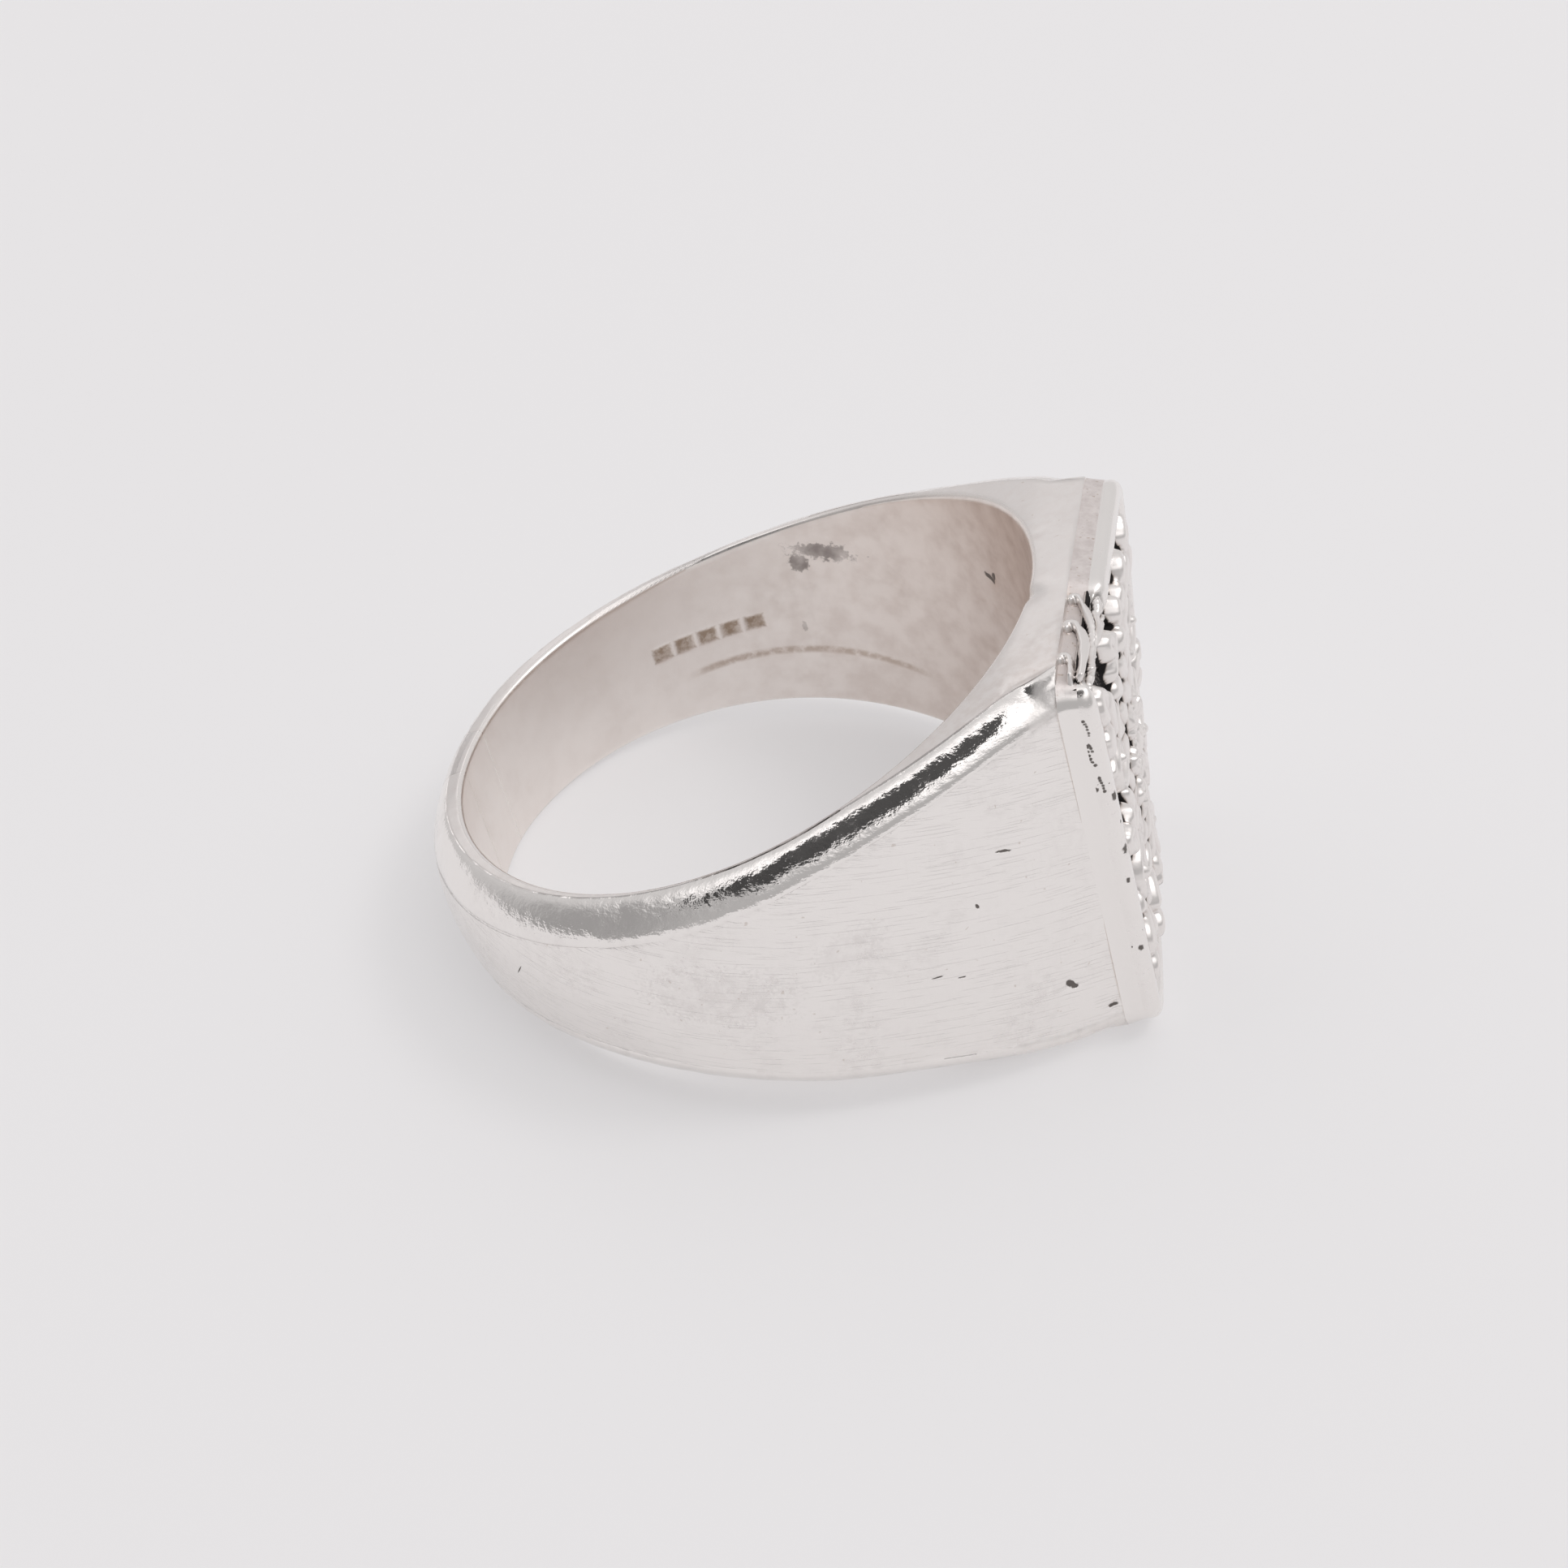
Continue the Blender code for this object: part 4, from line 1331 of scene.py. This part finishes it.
def plate_silver():
    """The plate's silver: polished like the band, a little more pitted."""
    made, finish = new_finish("cast_silver_fine")
    place = finish.place()
    clouds = finish.noise(place, 0.8, 4.0, 0.55)
    mottle = finish.noise(place, 4.0, 5.0, 0.6)
    pits = finish.noise(place, 4.0, 1.0, 0.3).step(0.77, 0.81)
    pits = pits.larger(pitted(finish, place, (finish.noise(place, 8.0, 2.0) - 0.5) * 1.6))
    drawn = finish.moved(place, rotation=(0.3, 0.0, 0.0), scale=(6.0, 1.0, 14.0))
    lines = finish.noise(drawn, 1.2, 1.0, 0.4).step(0.66, 0.76)
    base = finish.blend(clouds.step(0.45, 0.7) * 0.15, SILVER, SILVER_SMUDGED)
    base = finish.blend(lines * 0.2, base, SILVER_SMUDGED)
    base = finish.blend(pits * 0.9, base, GRIME)
    sunk = finish.attribute("notch").step(0.25, 0.7)
    base = finish.blend(sunk * (0.3 + 0.5 * mottle), base, GRIME)
    rough = 0.16 + 0.12 * mottle + 0.1 * lines + 0.3 * pits
    height = mottle * 0.004 - lines * 0.0016 - pits * 0.02
    finish.metal(base, rough, finish.bump(height))
    return made


def joint_silver():
    """The matte, slightly pink joint between head and plate."""
    made, finish = new_finish("silver_solder_fine")
    place = finish.place()
    mottle = finish.noise(place, 3.2, 5.0, 0.65)
    fine = finish.noise(place, 22.0, 3.0, 0.6)
    specks = finish.noise(place, 7.0, 1.0, 0.3).step(0.68, 0.73)
    base = finish.blend(mottle.step(0.3, 0.7), SOLDER_DARK, SOLDER_LIGHT)
    base = finish.blend(specks * 0.6, base, TARNISH_AND_SHADE)
    top, sunk = finish.attribute("top"), finish.attribute("notch")
    base = finish.blend(top, SILVER, base)
    base = finish.blend(sunk.step(0.3, 0.8) * mottle.step(0.4, 0.7) * 0.3, base, TARNISH_AND_SHADE)
    rough = 0.15 + top * (0.31 + 0.14 * mottle)
    finish.metal(base, rough, finish.bump((fine * 0.004 + mottle * 0.008) * (0.2 + 0.8 * top)))
    return made


def foliage_silver():
    """Carved silver, bright on its high parts and black with oxide in its hollows."""
    made, finish = new_finish("darkened_silver_fine")
    place = finish.place()
    hollow, high = finish.attribute("hollow"), finish.attribute("high")
    mottle = finish.noise(place, 3.5, 5.0, 0.6)
    fine = finish.noise(place, 18.0, 3.0, 0.6)
    deep = (hollow + (mottle - 0.5) * 0.30).step(0.22, 0.52)
    shade = (hollow + (fine - 0.5) * 0.3).step(0.05, 0.45)
    base = finish.blend(high.step(0.0, 0.5) * 0.6, LEAF_SILVER, SILVER)
    base = finish.blend(shade * 0.55, base, TARNISH_AND_SHADE)
    base = finish.blend(deep, base, OXIDE)
    rough = 0.26 + 0.10 * mottle + 0.35 * deep
    height = fine * 0.002 + mottle * 0.005
    finish.metal(base, rough, finish.bump(height))
    return made


def grain_silver():
    """Blackened grains whose tops are rubbed a little brighter."""
    made, finish = new_finish("matted_silver_fine")
    mottle = finish.noise(finish.place(), 3.0, 4.0, 0.6)
    base = finish.blend(mottle.step(0.35, 0.65) * 0.8, OXIDE, SMOKE)
    finish.metal(base, 0.34 + 0.2 * mottle, finish.bump(mottle * 0.004))
    return made


# ---------------------------------------------------------------- studio

FLOOR_RADIUS = 1.6
FLOOR_GREY = (0.500, 0.493, 0.497, 1.0)
FLOOR_GLOW = (1.0, 0.985, 0.994, 1.0)
FLOOR_GLOW_STRENGTH = 0.385     # the board is lit from below as well, which lightens the shadows

CAMERA_LENS = 66.353
CAMERA_HEADING = math.radians(10.570)
CAMERA_ELEVATION = math.radians(37.215)
CAMERA_ROLL = math.radians(2.002)
CAMERA_DISTANCE = 94.095 * MM
CAMERA_AIM = Vector((0.394, -0.005, -0.101)) * MM   # from the bore's centre


def direction(heading, elevation):
    """Unit vector. Heading 0 is towards +Y and turns towards -X, both in degrees."""
    turn, rise = math.radians(heading), math.radians(elevation)
    return Vector((-math.sin(turn) * math.cos(rise), math.cos(turn) * math.cos(rise),
                   math.sin(rise)))


def make_camera():
    """The camera, looking down at the ring from in front and a little from its head's side."""
    heading, elevation = CAMERA_HEADING, CAMERA_ELEVATION
    forward = Vector((-math.sin(heading) * math.cos(elevation),
                      math.cos(heading) * math.cos(elevation), -math.sin(elevation)))
    level = Vector((math.cos(heading), math.sin(heading), 0.0))
    upright = level.cross(forward)
    right = level * math.cos(CAMERA_ROLL) - upright * math.sin(CAMERA_ROLL)
    up = level * math.sin(CAMERA_ROLL) + upright * math.cos(CAMERA_ROLL)
    at = Vector(BORE_CENTRE) + CAMERA_AIM - forward * CAMERA_DISTANCE
    lens = bpy.data.cameras.new("camera")
    lens.lens = CAMERA_LENS
    lens.sensor_width = 36.0
    lens.clip_start = 1.0 * MM
    lens.clip_end = 10.0
    camera = bpy.data.objects.new("camera", lens)
    turn = Matrix((right, up, -forward)).transposed().to_4x4()
    camera.matrix_world = Matrix.Translation(at) @ turn
    bpy.context.scene.collection.objects.link(camera)
    bpy.context.scene.camera = camera


def make_floor():
    """A plain pale floor."""
    count = 96
    points, faces = [(0.0, 0.0, 0.0)], []
    for reach in (0.05, 0.3, FLOOR_RADIUS):
        for index in range(count):
            turn = 2.0 * math.pi * index / count
            points.append((reach * math.cos(turn), reach * math.sin(turn), 0.0))
    for index in range(count):
        following = (index + 1) % count
        faces.append((0, 1 + index, 1 + following))
        for ring in (0, 1):
            first, second = 1 + ring * count, 1 + (ring + 1) * count
            faces.append((first + index, second + index, second + following, first + following))
    mesh = bpy.data.meshes.new("floor")
    mesh.from_pydata(points, [], faces)
    floor = bpy.data.objects.new("floor", mesh)
    bpy.context.scene.collection.objects.link(floor)
    made, finish = new_finish("white_board")
    place = finish.place()
    tone = finish.noise(place, 0.02, 3.0)
    colour = finish.blend(tone, FLOOR_GREY, tuple(v * 0.985 for v in FLOOR_GREY[:3]) + (1.0,))
    surface = finish.field("ShaderNodeBsdfPrincipled", None,
                           {"Base Color": colour, "Roughness": 0.75,
                            "Specular IOR Level": 0.2, "Emission Color": FLOOR_GLOW,
                            "Emission Strength": FLOOR_GLOW_STRENGTH}, "BSDF")
    finish.node("ShaderNodeOutputMaterial", None, {"Surface": surface})
    mesh.materials.append(made)


# Directions of the dark things overhead that the ring mirrors: heading, elevation, and the
# angles from there at which each is fully dark and no longer dark
DARK_SHAPES = ((130.0, 44.0, 7.0, 13.0), (148.0, 55.0, 17.0, 22.0), (168.0, 67.0, 12.0, 17.0))
DARKNESS = 0.94                 # share of the light that they take away
WINDOW = (33.0, 26.0, 5.5, 8.0)
WINDOW_STRENGTH = 0.62
SKY_COLOUR = (1.0, 0.985, 0.99, 1.0)
SKY_LOW = math.radians(25.0)    # the sky brightens from this elevation up to SKY_HIGH
SKY_HIGH = math.radians(62.0)
KEY = (-75.0, 58.0)
KEY_COLOUR = (1.0, 0.99, 0.98)
KEY_DISTANCE = 0.55
KEY_SIZE = 0.17
KEY_ENERGY = 0.32


def make_studio():
    """White surroundings, darker things overhead and a bright window behind on the left."""
    world = bpy.data.worlds.new("studio")
    bpy.context.scene.world = world
    world.use_nodes = True
    finish = Finish(world.node_tree)
    towards = finish.field("ShaderNodeTexCoord", output="Object")

    def cone(heading, elevation, inner, outer):
        near = finish.field("ShaderNodeVectorMath", {"operation": "DOT_PRODUCT"},
                            {0: towards, 1: direction(heading, elevation)}, "Value")
        return near.step(math.cos(math.radians(outer)), math.cos(math.radians(inner)))

    aside, deep, high = finish.parts(towards)
    dark = cone(*DARK_SHAPES[0])
    for shape in DARK_SHAPES[1:]:
        dark = dark.larger(cone(*shape))
    rising = high.step(math.sin(SKY_LOW), math.sin(SKY_HIGH))
    behind = deep.step(-0.25, 0.35)
    rightward = aside.step(-0.3, 0.6)
    leftward = (aside * -1.0).step(0.4, 0.95)
    level = 0.47 + 0.23 * behind + rising * (0.85 + 0.15 * rightward) * (1.0 - 0.92 * behind)
    level = level - 0.12 * leftward * (1.0 - rising)
    light = (level + cone(*WINDOW) * WINDOW_STRENGTH) * (1.0 - dark * DARKNESS)
    background = finish.field("ShaderNodeBackground", None,
                              {"Color": SKY_COLOUR, "Strength": light}, "Background")
    finish.node("ShaderNodeOutputWorld", None, {"Surface": background})


def make_key_light():
    """A small soft light from the far right, high up."""
    light = bpy.data.lights.new("key", "AREA")
    light.shape = "DISK"
    light.size = KEY_SIZE
    light.energy = KEY_ENERGY
    light.color = KEY_COLOUR
    lamp = bpy.data.objects.new("key", light)
    at = direction(*KEY) * KEY_DISTANCE
    lamp.location = at
    lamp.rotation_euler = (-at).to_track_quat("-Z", "Y").to_euler()
    bpy.context.scene.collection.objects.link(lamp)


# ---------------------------------------------------------------- putting it together

def dress(piece, finish, slot, *nodes):
    """Give a piece its finish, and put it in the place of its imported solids."""
    if finish:
        piece.data.materials.append(finish)
    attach(piece, "root")
    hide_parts(*nodes)


BORE_CENTRE = bore_centre()
make_camera()
make_floor()
make_studio()
make_key_light()

silver = band_silver()
solder = joint_silver()
sized = np.linspace(SEAM_ANGLE + half_seam(), 2.0 * math.pi - SEAM_ANGLE - half_seam(), SIZED_STEPS)

dress(band_piece("cast_head_and_arms", cast_plan(), seated), silver, "worn_silver", "head_casting")
dress(band_piece("let_in_piece", [band_point(angle) for angle in sized]),
      silver, "worn_silver", "sizing_piece")
dress(seam_line("far_seam", SEAM_ANGLE), solder, "silver_solder", "seam_solder_far")
dress(seam_line("near_seam", -SEAM_ANGLE), solder, "silver_solder", "seam_solder_near")
dress(joint_strip(), solder, "silver_solder", "plaque_solder")
dress(face_plate(), plate_silver(), "cast_silver", "face_plaque")
leaves, ground_points, ground_faces = foliage()
dress(leaves, foliage_silver(), "darkened_silver", "foliage_relief")
dress(matting_grains(ground_points, ground_faces, grain_silver()), None, "darkened_silver",
      "foliage_relief")

bpy.context.scene.view_settings.view_transform = "Standard"
